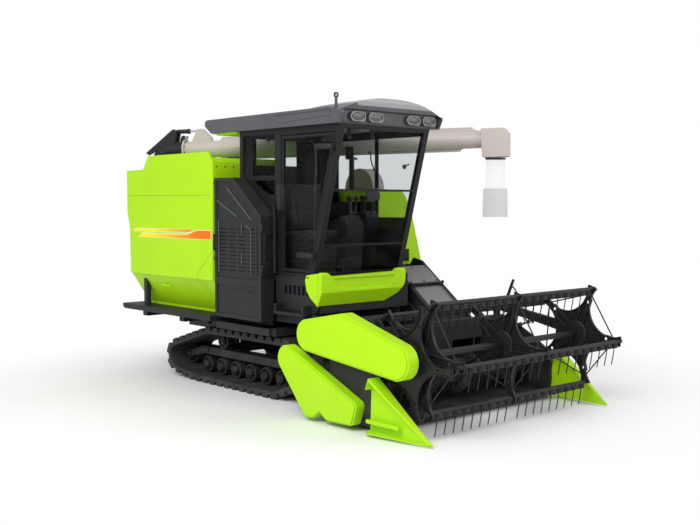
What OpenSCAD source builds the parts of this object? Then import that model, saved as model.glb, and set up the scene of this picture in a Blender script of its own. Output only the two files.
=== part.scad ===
// Combine harvester on rubber crawler tracks
// Millimetres, +X forward to the cutting header, +Y to the driver's left, +Z up, ground at z = 0.
// Lengths along X are counted from the front end of the tracks' ground contact,
// and placed() moves everything so that the origin is below the middle of the whole machine.

/* [Tracks] */
// width of one rubber track
track_width = 500; // [400:10:600]
// distance between the two track centre lines
track_gauge = 1200; // [1100:10:1300]
// wanted distance between two neighbouring lugs of one row
lug_pitch = 122; // [140:5:220]
// thickness of the rubber belt
belt_thick = 28; // [20:1:40]
// height of a lug above the belt
lug_height = 38; // [25:1:50]
// length of a lug's foot along the belt
lug_foot = 96; // [60:1:110]
// length of a lug's tip along the belt
lug_tip = 60; // [30:1:60]
// middle of the rear idler wheel
idler_x = -1722; // [-1740:1:-1700]
// radius of the rear idler wheel
idler_r = 100; // [92:1:110]
// height of the belt under the idler over the ground
idler_lift = 49; // [35:1:60]
// middle of the front drive sprocket
sprocket_x = 60; // [20:5:100]
// height of the sprocket's axle
sprocket_z = 320; // [300:1:335]
// radius of the drive sprocket
sprocket_r = 175; // [160:1:185]
// number of sprocket teeth
sprocket_teeth = 12; // [8:1:16]
// radius of the road rollers and of the upper roller
roller_r = 85; // [70:1:90]
// number of road rollers at each side
roller_count = 6; // [5:1:7]
// middle of the rearmost road roller
roller_rear_x = -1380; // [-1385:5:-1360]
// middle of the foremost road roller
roller_front_x = -190; // [-220:5:-170]
// middle of the upper roller
carrier_x = -1138; // [-1200:5:-1050]
// height of the upper roller's axle
carrier_z = 406; // [400:1:415]

/* [Chassis] */
// top of the cross beams that carry the bodies
chassis_top = 645; // [635:1:660]
// top of the rear deck
deck_top = 700; // [690:1:720]
// rear edge of the deck
deck_rear = -2500; // [-2560:5:-2450]
// radius of the bore in the tow and tie-down eyes
eye_bore = 21; // [15:1:25]

/* [Grain tank] */
// outer face of the right flank
flank_y = -1000; // [-1030:5:-980]
// front of the tank
tank_front = -805; // [-820:1:-800]
// rear of the tank
tank_rear = -2382; // [-2420:1:-2350]
// left wall of the tank
tank_left = -205; // [-260:5:-200]
// top edge of the flank
flank_top = 2226; // [2200:1:2260]
// thickness of the flank panel
flank_thick = 15; // [10:1:25]

/* [Threshing body] */
// left wall of the threshing body
thresher_left = 930; // [880:5:960]
// wall beside the tank and the cab's rear
thresher_right = -195; // [-200:1:-180]
// wall beside the cab
thresher_inner = 250; // [240:1:280]
// rear wall
thresher_rear = -2300; // [-2350:5:-2250]
// joint between the lower body and the hood
hood_base = 1150; // [1100:5:1200]
// top of the hood
hood_top = 1870; // [1840:5:1890]

/* [Cab] */
// outer face of the right wall
cab_right = -845; // [-860:1:-830]
// outer face of the left wall
cab_left = 205; // [190:1:210]
// outer face of the rear wall
cab_rear = -594; // [-600:1:-580]
// thickness of the cab walls
cab_wall = 45; // [35:1:55]
// upper face of the cab floor
floor_top = 1117; // [1100:1:1130]
// underside of the roof
roof_base = 2400; // [2380:1:2415]
// forward lean of the windscreen and its posts in degrees
screen_lean = 15.2; // [12:0.1:17]
// front edge of the windscreen posts at the floor
screen_foot = 445; // [430:1:460]
// width of a windscreen post along the machine
post_width = 38; // [34:1:50]
// gap around the door
door_gap = 9; // [8.5:0.5:12]
// rear edge of the roof
roof_rear = -1100; // [-1130:5:-1060]
// front edge of the roof
roof_front = 843; // [820:1:860]
// right edge of the roof
roof_right = -890; // [-910:5:-880]
// left edge of the roof
roof_left = 330; // [310:5:340]
// height of the roof's crown over its lower edge
roof_rise = 232; // [220:1:240]
// radius of a roof lamp's round ends
lamp_r = 40; // [34:1:44]

/* [Header] */
// half the width between the outer faces of the header's side sheets
header_half = 1086; // [1080:1:1100]
// thickness of the header's side sheets
side_sheet = 24; // [15:1:26]
// rear face of the header's back wall
header_back = 941; // [930:1:955]
// top edge of the back wall
header_top = 700; // [680:1:715]
// rear end of the knife
knife_x = 1465; // [1455:1:1468]
// height of the knife
knife_z = 50; // [45:1:60]
// number of knife guards
guard_count = 38; // [30:1:44]
// middle of the feed auger along the machine
auger_x = 1160; // [1155:1:1170]
// height of the auger's axle
auger_z = 300; // [290:1:305]
// outer radius of the auger's flights
flight_r = 190; // [170:1:192]
// radius of the auger's tube
auger_tube_r = 112; // [90:1:130]
// advance of the auger's flights in one turn
flight_pitch = 400; // [300:10:500]
// thickness of a flight across its foot
flight_foot = 28; // [20:1:36]
// middle line of the feeder house across the machine
feeder_y = 545; // [530:1:560]
// width of the feeder house
feeder_width = 450; // [400:5:470]
// downward slope of the feeder house in degrees
feeder_slope = 38; // [36:0.5:40]
// lifting pivot of the header along the machine
lift_x = 85; // [80:1:95]
// height of the header's lifting pivot
lift_z = 1090; // [1080:1:1100]
// length of the crop dividers
divider_length = 640; // [560:5:660]

/* [Reel] */
// reel axle along the machine
reel_x = 1805; // [1795:1:1815]
// height of the reel axle
reel_z = 625; // [622:1:640]
// radius of the circle of tine bars
bar_circle = 425; // [410:1:428]
// angle of the first tine bar in degrees
reel_turn = -4; // [-5:0.5:5]
// reach of the tine bars past the left star
bar_over = 30; // [26:1:40]
// radius of a tine bar's tube
bar_r = 17; // [14:0.5:19]
// number of tines on each half of a bar
tines_per_half = 9; // [6:1:11]
// length of a tine below its bar
tine_length = 190; // [170:1:192]
// thickness of a tine
tine_thick = 6; // [6:0.5:9]
// radius over the tips of the reel's stars
star_r = 445; // [440:1:450]
// backward and downward shift of the control star against the reel axle
control_shift = 48; // [40:1:52]
// pivot of the reel's arms along the machine
arm_x = 900; // [890:1:910]
// height of the arms' pivot
arm_z = 790; // [780:1:800]

/* [Unloader] */
// start of the discharge tube along the machine
boom_x = -1870; // [-1880:1:-1860]
// start of the discharge tube across the machine
boom_y = -614; // [-624:1:-604]
// height of the discharge tube's start
boom_z = 2291; // [2288:1:2300]
// direction of the stowed tube from straight ahead in degrees
boom_turn = 36.8; // [36.4:0.1:37.2]
// rise of the stowed tube in degrees
boom_rise = 1.4; // [1.2:0.1:2]
// length of the discharge tube
boom_length = 3290; // [3200:5:3320]
// radius of the discharge tube
boom_r = 85; // [75:1:88]
// distance from the tube's start back to the swing axis
swing_back = 275; // [265:1:290]
// lower end of the hanging sleeve
sleeve_low = 1615; // [1550:5:1700]
// radius of the sleeve
sleeve_r = 128; // [110:1:132]

/* [Hidden] */
$fn = 48;
roof_crown = roof_base + roof_rise;
track_y = track_gauge / 2;
rail_out = track_y - track_width / 2 - 40;
rail_in = rail_out - 80;
axle_out = track_y - 70;
belt_in = belt_thick + lug_height;
roller_z = belt_in + roller_r;
idler_z = belt_in + idler_r + idler_lift;
roller_step = (roller_front_x - roller_rear_x) / (roller_count - 1);
post_slope = tan(screen_lean);
door_rear = 14;
door_low = floor_top + 33;
door_high = roof_base - 60;
door_hinges = [floor_top + 182, roof_base - 200];
handle_z = door_low + 0.48 * (door_high - door_low);
reel_bars = 5;
bar_step = 360 / reel_bars;
star_right = 126 - header_half;
star_left = header_half - 86;
control_y = 56 - header_half;
arm_in = header_half - 28;
arm_out = header_half + 12;
lift_dir = [cos(feeder_slope), -sin(feeder_slope)];
lift_up = [sin(feeder_slope), cos(feeder_slope)];
feeder_top_w = 116;
feeder_low_w = -214;
header_cyl_base = [60, 650];
header_cyl_eye = [590, 378];
reel_cyl_base = [985, 570];
reel_cyl_eye = [1270, 672];
reel_cyl_y = header_half - 56;
boom_cyl_base = [-90, 190];
boom_cyl_eye = [175, 190];
boom_hinge_z = 130;
swing_pin = 60;
step_top = 2080;
cover_out = -header_half - 124;
spout_half = 110;
spout_round = 70;
spout_depth = 176;
x_mid = (deck_rear + reel_x + star_r) / 2;
boom_tip = boom_length * cos(boom_rise) + spout_depth * sin(boom_rise);
boom_tip_y = boom_y + boom_tip * sin(boom_turn) + spout_half * cos(boom_turn);
y_mid = (cover_out + boom_tip_y) / 2;
glass_thick = 8;
sill_z = floor_top + 0.65 * (roof_base - floor_top);
lime = [0.66, 0.86, 0.13];
dark = [0.24, 0.24, 0.26];
roof_grey = [0.37, 0.38, 0.40];
beige = [0.80, 0.77, 0.73];
black = [0.12, 0.12, 0.13];
steel = [0.62, 0.63, 0.64];
tinted = [0.25, 0.32, 0.32, 0.5];

// Which node is drawn

// Shared helpers
module placed() {
    translate([-x_mid, -y_mid, 0]) children();
}

module box(x0, x1, y0, y1, z0, z1) {
    translate([x0, y0, z0]) cube([x1 - x0, y1 - y0, z1 - z0]);
}

// a drawing in X and Z, pulled from y0 to y1
module side(y0, y1) {
    translate([0, y1, 0]) rotate([90, 0, 0]) linear_extrude(y1 - y0) children();
}

// a drawing in Y and Z, pulled from x0 to x1
module cross(x0, x1) {
    translate([x0, 0, 0]) rotate([90, 0, 90]) linear_extrude(x1 - x0) children();
}

module rod_y(x, z, y0, y1, r) {
    translate([x, y0, z]) rotate([-90, 0, 0]) cylinder(h = y1 - y0, r = r);
}

module rod(p, q, r, sides = 24) {
    v = q - p;
    len = norm(v);
    translate(p) rotate([0, acos(v[2] / len), atan2(v[1], v[0])]) cylinder(h = len, r = r, $fn = sides);
}

// the same piece at the right and at the left
module both() {
    children();
    mirror([0, 1, 0]) children();
}

function turned(p, a) = [p[0] * cos(a) - p[1] * sin(a), p[0] * sin(a) + p[1] * cos(a)];
// direction from a circle's middle to where a line laid around two circles leaves it
function lean(a, b) = atan2(b[1] - a[1], b[0] - a[0]) - acos((a[2] - b[2]) / norm([b[0] - a[0], b[1] - a[1]]));
function rim(c, t) = [c[0] + c[2] * cos(t), c[1] + c[2] * sin(t)];

// the outline of a band laid around circles, given as [x, y, radius] counter-clockwise
// the straight sides lie a hair inside the tangents, so that they cross the circles cleanly
module wrapped(circles, grow = 0, inside = 0) {
    n = len(circles);
    cs = [for (c = circles) [c[0], c[1], c[2] + grow]];
    polygon([for (i = [0:n - 1], e = [0, 1])
        rim(cs[(i + e) % n] - [0, 0, inside], lean(cs[i], cs[(i + 1) % n]))]);
    for (c = cs) {
        translate([c[0], c[1]]) circle(r = c[2]);
    }
}

function post_x(z) = screen_foot + post_slope * (z - floor_top);

// The belt runs around these circles, counter-clockwise seen from the right
wheels = [[idler_x, idler_z, idler_r], [roller_rear_x, roller_z, roller_r], [roller_front_x + 60, roller_z, roller_r],
    [sprocket_x, sprocket_z, sprocket_r], [carrier_x, carrier_z, roller_r]];
wheel_count = len(wheels);
function wheel(i) = wheels[(i + wheel_count) % wheel_count];
function run_vec(i) = [wheel(i + 1)[0] - wheel(i)[0], wheel(i + 1)[1] - wheel(i)[1]];
function run_normal(i) = lean(wheel(i), wheel(i + 1));
function up_to(a, low) = a < low ? a + 360 : a;
function arc_start(i) = run_normal(i - 1);
function arc_sweep(i) = up_to(run_normal(i), arc_start(i)) - arc_start(i);
function arc_parts(i) = ceil(arc_sweep(i) / 8);
function arc_length(i) = wheel(i)[2] * arc_sweep(i) * PI / 180;
function run_length(i) = sqrt(pow(norm(run_vec(i)), 2) - pow(wheel(i)[2] - wheel(i + 1)[2], 2));
function part_length(i) = arc_length(i) + run_length(i);
function belt_length(i = 0) = i == wheel_count ? 0 : part_length(i) + belt_length(i + 1);
function on_belt(s, h, i = 0) = s > part_length(i) && i < wheel_count - 1
    ? on_belt(s - part_length(i), h, i + 1)
    : s < arc_length(i) ? on_arc(i, arc_start(i) + arc_sweep(i) * s / arc_length(i), h, 0)
    : on_arc(i, arc_start(i) + arc_sweep(i), h, s - arc_length(i));
function on_arc(i, a, h, along) = [wheel(i)[0] + (wheel(i)[2] + h) * cos(a) - along * sin(a),
    wheel(i)[1] + (wheel(i)[2] + h) * sin(a) + along * cos(a)];
lug_count = round(belt_length() / lug_pitch);
lug_step = belt_length() / lug_count;
function along_belt(s) = s < 0 ? s + belt_length() : s >= belt_length() ? s - belt_length() : s;
function lug_points(s) = [on_belt(along_belt(s - lug_foot / 2), belt_thick),
    on_belt(along_belt(s - lug_tip / 2), belt_in),
    on_belt(along_belt(s + lug_tip / 2), belt_in),
    on_belt(along_belt(s + lug_foot / 2), belt_thick),
    on_belt(along_belt(s + lug_step / 2), belt_thick)];

module belt_row(shift) {
    difference() {
        polygon([for (k = [0:lug_count - 1], p = lug_points((k + shift) * lug_step)) p]);
        polygon([for (i = [0:wheel_count - 1], k = [0:arc_parts(i)])
            on_arc(i, arc_start(i) + arc_sweep(i) * k / arc_parts(i), 0, 0)]);
    }
}

module track(y) {
    side(y - track_width / 2, y) belt_row(0.2);
    side(y, y + track_width / 2) belt_row(0.7);
}

module track_left() {
    color(black) track(track_y);
}

module track_right() {
    color(black) mirror([0, 1, 0]) track(track_y);
}

// Beam, forks and axles inside one track
module track_frame_one() {
    box(idler_x + 195, sprocket_x - 215, track_y - 70, track_y + 70, 245, 318);
    for (y = [track_y - 80, track_y + 50]) {
        side(y, y + 30) difference() {
            union() {
                translate([idler_x, idler_z]) circle(r = 48);
                polygon([[idler_x + 4, idler_z - 30], [idler_x + 330, 262], [idler_x + 330, 304],
                    [idler_x + 190, 300], [idler_x - 4, idler_z + 40]]);
            }
            translate([idler_x, idler_z]) circle(r = 10);
        }
    }
    rod_y(idler_x, idler_z, track_y - 88, track_y + 88, 26);
    for (i = [0:roller_count - 1]) {
        x = roller_rear_x + i * roller_step;
        side(track_y - 11, track_y + 11) polygon([[x - 50, 246], [x - 28, roller_z - 28],
            [x + 28, roller_z - 28], [x + 50, 246]]);
        rod_y(x, roller_z, track_y - 95, track_y + 95, 22);
    }
    side(track_y - 11, track_y + 11) polygon([[carrier_x - 60, 316], [carrier_x - 26, carrier_z + 26],
        [carrier_x + 26, carrier_z + 26], [carrier_x + 60, 316]]);
    rod_y(carrier_x, carrier_z, track_y - 85, track_y + 85, 22);
}

module track_frames() {
    color(dark) both() track_frame_one();
}

// One flanged disc of a road roller, its axle along Z
module roller_disc(r, bore, depth) {
    rotate_extrude() polygon([[bore, 8], [bore, depth + 6], [bore + 16, depth + 6], [bore + 20, depth - 18],
        [r - 24, depth - 18], [r - 18, depth], [r - 3, depth], [r, depth - 5], [r, 4], [r - 3, 0],
        [r - 18, 0], [r - 24, 14], [bore + 20, 14], [bore + 14, 8]]);
}

module idler_wheel() {
    rotate_extrude() difference() {
        translate([26.5, -42]) square([idler_r - 27.4, 84]);
        translate([50, 20]) polygon([[0, 0], [idler_r - 74, 0], [idler_r - 66, 40], [-8, 40]]);
        translate([50, -20]) polygon([[0, 0], [idler_r - 74, 0], [idler_r - 66, -40], [-8, -40]]);
    }
}

module sprocket_wheel() {
    difference() {
        union() {
            cylinder(h = 80, r = sprocket_r - 0.9, center = true);
            cylinder(h = 104, r = 70, center = true);
        }
        for (i = [0:sprocket_teeth - 1]) {
            rotate(i * 360 / sprocket_teeth) translate([sprocket_r + 4, 0, 0])
                cylinder(h = 120, r = 26, center = true, $fn = 20);
        }
        for (i = [0:5]) {
            rotate(i * 60) translate([104, 0, 0]) cylinder(h = 120, r = 20, center = true, $fn = 20);
        }
    }
}

module track_wheels() {
    color(black) both() {
        for (i = [0:roller_count - 1]) {
            x = roller_rear_x + i * roller_step;
            translate([x, track_y + 12, roller_z]) rotate([-90, 0, 0]) roller_disc(roller_r - 0.5, 22.5, 76);
            translate([x, track_y - 12, roller_z]) rotate([90, 0, 0]) roller_disc(roller_r - 0.5, 22.5, 76);
        }
        translate([carrier_x, track_y + 12, carrier_z]) rotate([-90, 0, 0]) roller_disc(roller_r - 0.5, 22.5, 60);
        translate([carrier_x, track_y - 12, carrier_z]) rotate([90, 0, 0]) roller_disc(roller_r - 0.5, 22.5, 60);
        translate([idler_x, track_y, idler_z]) rotate([90, 0, 0]) idler_wheel();
        translate([sprocket_x, track_y, sprocket_z]) rotate([90, 0, 0]) sprocket_wheel();
    }
}

// Rails, cross beams and axle beams, with the eyes at the rear and at the front
module eye_plate(x, y, z, turn) {
    translate([x, y, z]) rotate([90, 0, 0]) rotate(turn) translate([0, 0, -12]) linear_extrude(24)
        difference() {
            union() {
                circle(r = 45);
                translate([0, -45]) square([75, 90]);
            }
            circle(r = eye_bore);
        }
}

module chassis_frame() {
    rail_low = 430;
    beam_low = chassis_top - 65;
    color(dark) difference() {
        union() {
            both() box(-2300, -135, rail_in, rail_out, rail_low, beam_low + 2);
            both() box(-220, -2, rail_in, rail_out, beam_low - 2, chassis_top);
            for (x = [-2260, -1560, -880, -540, -90]) {
                box(x, x + 90, -900, 900, beam_low, chassis_top);
            }
            for (x = [-1370, -420]) {
                box(x, x + 100, -axle_out, axle_out, 248, 332);
                both() box(x, x + 100, rail_in + 10, rail_out - 10, 330, rail_low + 2);
            }
            box(-2300, -2220, -rail_out, rail_out, rail_low, beam_low);
            eye_plate(-2370, 0, 500, 0);
            both() box(-880, -60, 900, 925, beam_low, chassis_top);
            for (y = [feeder_y - 56, feeder_y + 38]) {
                side(y, y + 18) polygon([[-5, beam_low], [70, beam_low], header_cyl_base + [42, -18],
                    header_cyl_base + [42, 18], header_cyl_base + [12, 44], header_cyl_base + [-28, 40],
                    [3, chassis_top + 17], [3, chassis_top + 1], [-5, chassis_top - 1]]);
            }
            rod_y(header_cyl_base[0], header_cyl_base[1], feeder_y - 56, feeder_y + 56, 15);
        }
        for (x = [-1900, -1200], y = [-1, 1]) {
            translate([x, y * (rail_in + 40), 505]) rotate([90, 0, 0]) cylinder(h = 200, r = 38, center = true);
        }
    }
}

module drive_gearbox() {
    color(dark) {
        difference() {
            union() {
                side(10 - rail_out, rail_out - 10) polygon([[-135, 300], [-80, 220], [150, 220], [225, 300], [225, 470],
                    [150, 570], [-135, 570]]);
                both() rod_y(sprocket_x, sprocket_z, rail_out - 11, track_y - 53, 66);
                both() rod_y(sprocket_x, sprocket_z, rail_out - 11, rail_out + 30, 110);
                both() translate([0, rail_in + 10, 400]) rotate([-90, 0, 0]) eye_plate(290, 0, 0, 180);
            }
            for (y = [-150, 0, 150]) {
                translate([227, y, 385]) rotate([0, 90, 0]) cylinder(h = 20, r = 48, center = true);
            }
        }
    }
}

module engine() {
    color(steel) difference() {
        box(-780, -210, -770, -260, chassis_top, 1065);
        for (x = [-720:120:-240]) {
            box(x, x + 50, -790, -752, 760, 960);
        }
    }
}

function tank_under(y) = 1028 - 304 * (y - flank_y - flank_thick) / (-782 - flank_y - flank_thick);

module rear_deck() {
    color(dark) difference() {
        union() {
            side(flank_y, tank_left) polygon([[deck_rear, chassis_top + 22], [deck_rear + 40, chassis_top],
                [-870, chassis_top], [-870, deck_top], [deck_rear + 8, deck_top], [deck_rear, deck_top - 8]]);
            cross(-2140, -2085) polygon([[flank_y + 45, deck_top - 2], [flank_y + 95, deck_top - 2],
                [flank_y + 95, tank_under(flank_y + 95) - 1], [flank_y + 45, tank_under(flank_y + 45) - 1]]);
        }
        box(deck_rear + 60, -2300, flank_y + 40, tank_left - 40, chassis_top - 5, deck_top - 14);
    }
}

// Floor, skirts and legs under the cab
module cab_base() {
    low = 820;
    color(dark) difference() {
        union() {
            box(cab_rear, 530, cab_right, cab_left, floor_top - 37, floor_top);
            box(500, 530, cab_right + 25, cab_left - 25, low, floor_top - 36);
            side(cab_right, cab_right + 25) polygon([[-65, floor_top - 36], [-65, 900], [0, low],
                [470, low], [530, 880], [530, floor_top - 36]]);
            box(-60, 530, cab_left - 25, cab_left, low, floor_top - 36);
            for (x = [-90, 395], y = [cab_right + 25, cab_left - 85]) {
                box(x, x + 60, y, y + 60, chassis_top + 62, floor_top - 36);
            }
            box(-90, 456, cab_right + 25, cab_right + 85, chassis_top + 60, chassis_top + 122);
            box(-90, 456, cab_left - 85, cab_left - 25, chassis_top + 60, chassis_top + 122);
            both() box(-90, 0, 120, 180, chassis_top, chassis_top + 62);
            box(-90, -30, cab_right + 25, cab_left - 25, chassis_top + 60, chassis_top + 122);
        }
        for (i = [0:5]) {
            box(60 + 60 * i, 95 + 60 * i, cab_right - 5, cab_right + 30, 960, 1040);
        }
    }
}

// Right wall: rear quarter panel with its windows, doorway, hinge pins and the jamb of the screen door
module door_hole(out) {
    polygon([[door_rear - out, door_low - out], [post_x(door_low) - post_width + out, door_low - out],
        [post_x(door_high) - post_width + out, door_high + out], [door_rear - out, door_high + out]]);
}

module quarter_upper() {
    polygon([[cab_rear + 50, sill_z + 40], [-75, sill_z + 40], [-75, roof_base - 45], [cab_rear + 50, roof_base - 45]]);
}

module quarter_lower() {
    polygon([[-400, sill_z], [-190, sill_z - 125], [-75, sill_z - 125], [-75, sill_z]]);
}

// a place on the line of the door's hinge pins, its axle along Z
module at_hinge(z) {
    translate([post_x(z) - post_width / 2, cab_right - 20, z]) rotate([0, screen_lean, 0]) children();
}

screen_hinges = [1150, 1520];
screen_pin_x = -60;
screen_pin_y = flank_y - 2;

module cab_right_frame() {
    color(roof_grey) difference() {
        union() {
            side(cab_right, cab_right + cab_wall) difference() {
                polygon([[cab_rear, floor_top], [post_x(floor_top), floor_top], [post_x(roof_base), roof_base],
                    [cab_rear, roof_base]]);
                door_hole(0);
                quarter_upper();
                quarter_lower();
            }
            for (z = door_hinges) {
                at_hinge(z) {
                    translate([0, 0, -34]) cylinder(h = 68, r = 7);
                    for (h = [-34, 20]) {
                        translate([-12, -12, h]) cube([24, 40, 14]);
                    }
                }
            }
            box(-70, -48, flank_y + 16, cab_right + 1, floor_top + 3, 1600);
            for (z = screen_hinges) {
                translate([screen_pin_x, screen_pin_y, z]) cylinder(h = 60, r = 8);
                box(-70, -48, flank_y - 8, flank_y + 20, z - 22, z + 2);
            }
        }
        box(-100, -30, flank_y + 50, cab_right - 40, 1240, 1470);
    }
}

module left_hole() {
    polygon([[cab_rear + 60, 1500], [post_x(1500) - post_width - 10, 1500],
        [post_x(roof_base - 60) - post_width - 10, roof_base - 60], [cab_rear + 60, roof_base - 60]]);
}

module cab_left_wall() {
    color(roof_grey) side(cab_left - cab_wall, cab_left) difference() {
        polygon([[cab_rear, floor_top], [post_x(floor_top), floor_top], [post_x(roof_base), roof_base],
            [cab_rear, roof_base]]);
        left_hole();
    }
}

module rear_hole() {
    translate([cab_right + cab_wall + 70, 1800])
        square([cab_left - cab_right - 2 * cab_wall - 140, roof_base - 1860]);
}

module cab_rear_wall() {
    color(roof_grey) cross(cab_rear, cab_rear + cab_wall) difference() {
        translate([cab_right + cab_wall, floor_top])
            square([cab_left - cab_right - 2 * cab_wall, roof_base - floor_top]);
        rear_hole();
    }
}

// Windscreen frame between the posts, three panes one above the other
module screen_slab(y0, y1, z0, z1, d0, d1) {
    side(y0, y1) polygon([[post_x(z0) - d1, z0], [post_x(z0) - d0, z0], [post_x(z1) - d0, z1],
        [post_x(z1) - d1, z1]]);
}

screen_bars = [[floor_top + 40, 1381], [1399, 1851], [1869, roof_base - 36]];
screen_rim = 14;
screen_y0 = cab_right + cab_wall;
screen_y1 = cab_left - cab_wall;

module cab_front_frame() {
    color(roof_grey) difference() {
        screen_slab(screen_y0, screen_y1, floor_top, roof_base, 0, post_width);
        for (b = screen_bars) {
            screen_slab(screen_y0 + screen_rim, screen_y1 - screen_rim, b[0], b[1], -5, post_width + 5);
        }
    }
}

module cab_glass() {
    color(tinted) {
        for (b = screen_bars) {
            screen_slab(screen_y0 + screen_rim, screen_y1 - screen_rim, b[0], b[1], 6, 6 + glass_thick);
        }
        side(cab_left - 20, cab_left - 20 + glass_thick) left_hole();
        cross(cab_rear + 14, cab_rear + 14 + glass_thick) rear_hole();
        side(cab_right + 8, cab_right + 8 + glass_thick) quarter_upper();
        side(cab_right + 8, cab_right + 8 + glass_thick) quarter_lower();
    }
}

lamp_places = [-661, -457, -10, 182];
lamp_z = roof_base + 62;
lamp_front = 790;

// a flat slab with a crowned brow over the windscreen
module roof_body() {
    mid_y = (roof_right + roof_left) / 2;
    flat_top = roof_base + 140;
    brow_r = 1470;
    intersection() {
        side(roof_right, roof_left) wrapped([[roof_rear + 40, roof_base + 94, 38], [roof_rear + 112, roof_base + 4, 4],
            [roof_front - 50, roof_base + 4, 4], [roof_front - 26, roof_base + 88, 20], [700, flat_top - 18, 16]],
            inside = 0.06);
        cross(roof_rear - 1, roof_front + 1) wrapped([[roof_right + 6, roof_base + 6, 6],
            [roof_left - 6, roof_base + 6, 6], [roof_left - 28, flat_top - 24, 26],
            [roof_right + 28, flat_top - 24, 26]],
            inside = 0.06);
    }
    intersection() {
        side(roof_right + 8, roof_left - 8) wrapped([[180, flat_top - 30, 20], [roof_front - 66, roof_base + 50, 30],
            [roof_front - 48, roof_crown - 44, 42], [560, roof_crown - 38, 36]]);
        cross(100, roof_front + 1) translate([mid_y, roof_crown - brow_r]) circle(r = brow_r, $fn = 360);
    }
}

module cab_roof() {
    cut = 125;
    eye_z = roof_crown + 8;
    color(roof_grey) difference() {
        union() {
            roof_body();
            translate([670, roof_right + 110, eye_z]) rotate([90, 0, 0]) linear_extrude(16, center = true)
                difference() {
                    union() {
                        circle(r = 24);
                        translate([-10, -110]) square([20, 110]);
                    }
                    circle(r = 14);
                }
        }
        cross(lamp_front, roof_front + 10) wrapped([[roof_right + 110, lamp_z, 54], [roof_left - 60, lamp_z, 54]]);
        translate([boom_x, boom_y, 0]) rotate(boom_turn) translate([0, -cut, roof_base - 20])
            cube([3200, 1200, 400]);
    }
}

module lamp_body(r, depth) {
    rotate_extrude() polygon([[0, 0], [r - 6, 0], [r, 6], [r, depth], [r - 8, depth], [r - 8, depth - 6],
        [0, depth + 4]]);
}

// a long oval work lamp with a sunk lens, facing forward
module work_lamp(y) {
    oval = [[y - 44, lamp_z, lamp_r], [y + 44, lamp_z, lamp_r]];
    difference() {
        cross(lamp_front + 0.4, lamp_front + 26) wrapped(oval);
        cross(lamp_front + 20, lamp_front + 30) wrapped(oval, -7);
    }
}

module lamps() {
    color([0.9, 0.9, 0.86]) {
        for (y = lamp_places) {
            work_lamp(y);
        }
        translate([0, 560, 1420]) rotate([0, 90, 0]) lamp_body(42, 30);
    }
}

module seat() {
    color(black) {
        side(-560, -60) polygon([[-330, floor_top], [20, floor_top], [40, 1400], [-350, 1400]]);
        side(-570, -50) polygon([[-360, 1400], [70, 1400], [100, 1450], [90, 1500], [-240, 1490],
            [-330, 1960], [-370, 2000], [-430, 1990], [-450, 1940]]);
    }
}

module control_console() {
    color(dark) {
        side(-20, 130) polygon([[-430, floor_top], [150, floor_top], [230, 1620], [180, 1680], [-430, 1560]]);
        side(-420, -220) polygon([[250, floor_top], [360, floor_top], [400, 1560], [330, 1640], [270, 1600]]);
        rod([345, -320, 1600], [320, -320, 1790], 12, 12);
        translate([320, -320, 1790]) sphere(r = 26, $fn = 20);
        rod([60, 60, 1600], [75, 60, 1800], 10, 12);
        translate([75, 60, 1800]) sphere(r = 22, $fn = 20);
    }
}

module front_bumper() {
    color(lime) difference() {
        union() {
            intersection() {
                cross(500, 590) polygon([[-868, 1150], [-868, 912], [-845, 888], [-97, 888], [40, 950], [110, 1030],
                    [122, 1075], [122, 1158], [104, 1172], [38, 1172], [4, 1146], [-752, 1134], [-800, 1168],
                    [-850, 1168]]);
                side(cab_right - 40, cab_left) polygon([[532, 1190], [568, 1190], [584, 1160], [584, 1000],
                    [532, 880]]);
            }
            side(cab_right - 27, cab_right) polygon([[372, 1095], [392, 1009], [440, 950], [533, 884], [540, 900],
                [540, 1155], [520, 1160], [395, 1140]]);
        }
        cross(574, 590) polygon([[-724, 1114], [-704, 1032], [-500, 1015], [-110, 1015], [-63, 1026], [-8, 1116]]);
    }
}

module entry_step() {
    color(dark) difference() {
        union() {
            box(20, 420, cab_right - 90, cab_right, 790, 816);
            box(20, 44, cab_right - 90, cab_right, 790, 880);
            box(396, 420, cab_right - 90, cab_right, 790, 880);
        }
        for (i = [0:6]) {
            box(60 + 48 * i, 88 + 48 * i, cab_right - 80, cab_right - 20, 780, 830);
        }
    }
}

module grab_handle() {
    y = cab_right - 45;
    color(black) {
        rod([-25, y, 1145], [-25, y, 1745], 13);
        for (z = [1145, 1745]) {
            translate([-25, y, z]) sphere(r = 13, $fn = 24);
            rod_y(-25, z, y, cab_right, 13);
        }
    }
}

// Grain tank
module tank_side() {
    color(lime) side(flank_y, flank_y + flank_thick) polygon([[tank_rear + 57, 1028], [tank_front - 20, 1031],
        [tank_front, 1981], [tank_front - 3, 2137], [tank_front - 76, flank_top], [-1954, flank_top - 4],
        [-2055, 2089], [tank_rear, 2082], [tank_rear, 1646], [tank_rear + 49, 1501]]);
}

module tank_shell() {
    y = flank_y + flank_thick;
    color(lime) {
        intersection() {
            side(y, tank_left) polygon([[tank_rear + 57, deck_top], [tank_front - 20, deck_top],
                [tank_front, 1981], [tank_front - 3, 2130], [tank_front - 50, 2172], [-1900, 2172], [-1960, step_top],
                [tank_rear, step_top], [tank_rear, 1646], [tank_rear + 57, 1501]]);
            cross(tank_rear - 10, tank_front + 10) polygon([[y, 1028], [-782, 724], [-782, deck_top],
                [tank_left, deck_top], [tank_left, 2175], [y, 2175]]);
        }
        at_swing(step_top - 2) cylinder(h = 52, r = swing_pin);
    }
}

// Threshing body and its rounded hood
// bearing plate and stub shaft on which one side of the feeder house swings
module feeder_trunnion() {
    wall_out = feeder_width / 2;
    side(wall_out + 6, wall_out + 24) wrapped([[lift_x, lift_z, 50], [10, lift_z + 38, 20], [10, lift_z - 60, 20]]);
    rod_y(lift_x, lift_z, wall_out - 25, wall_out + 40, 35.6);
}

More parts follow.
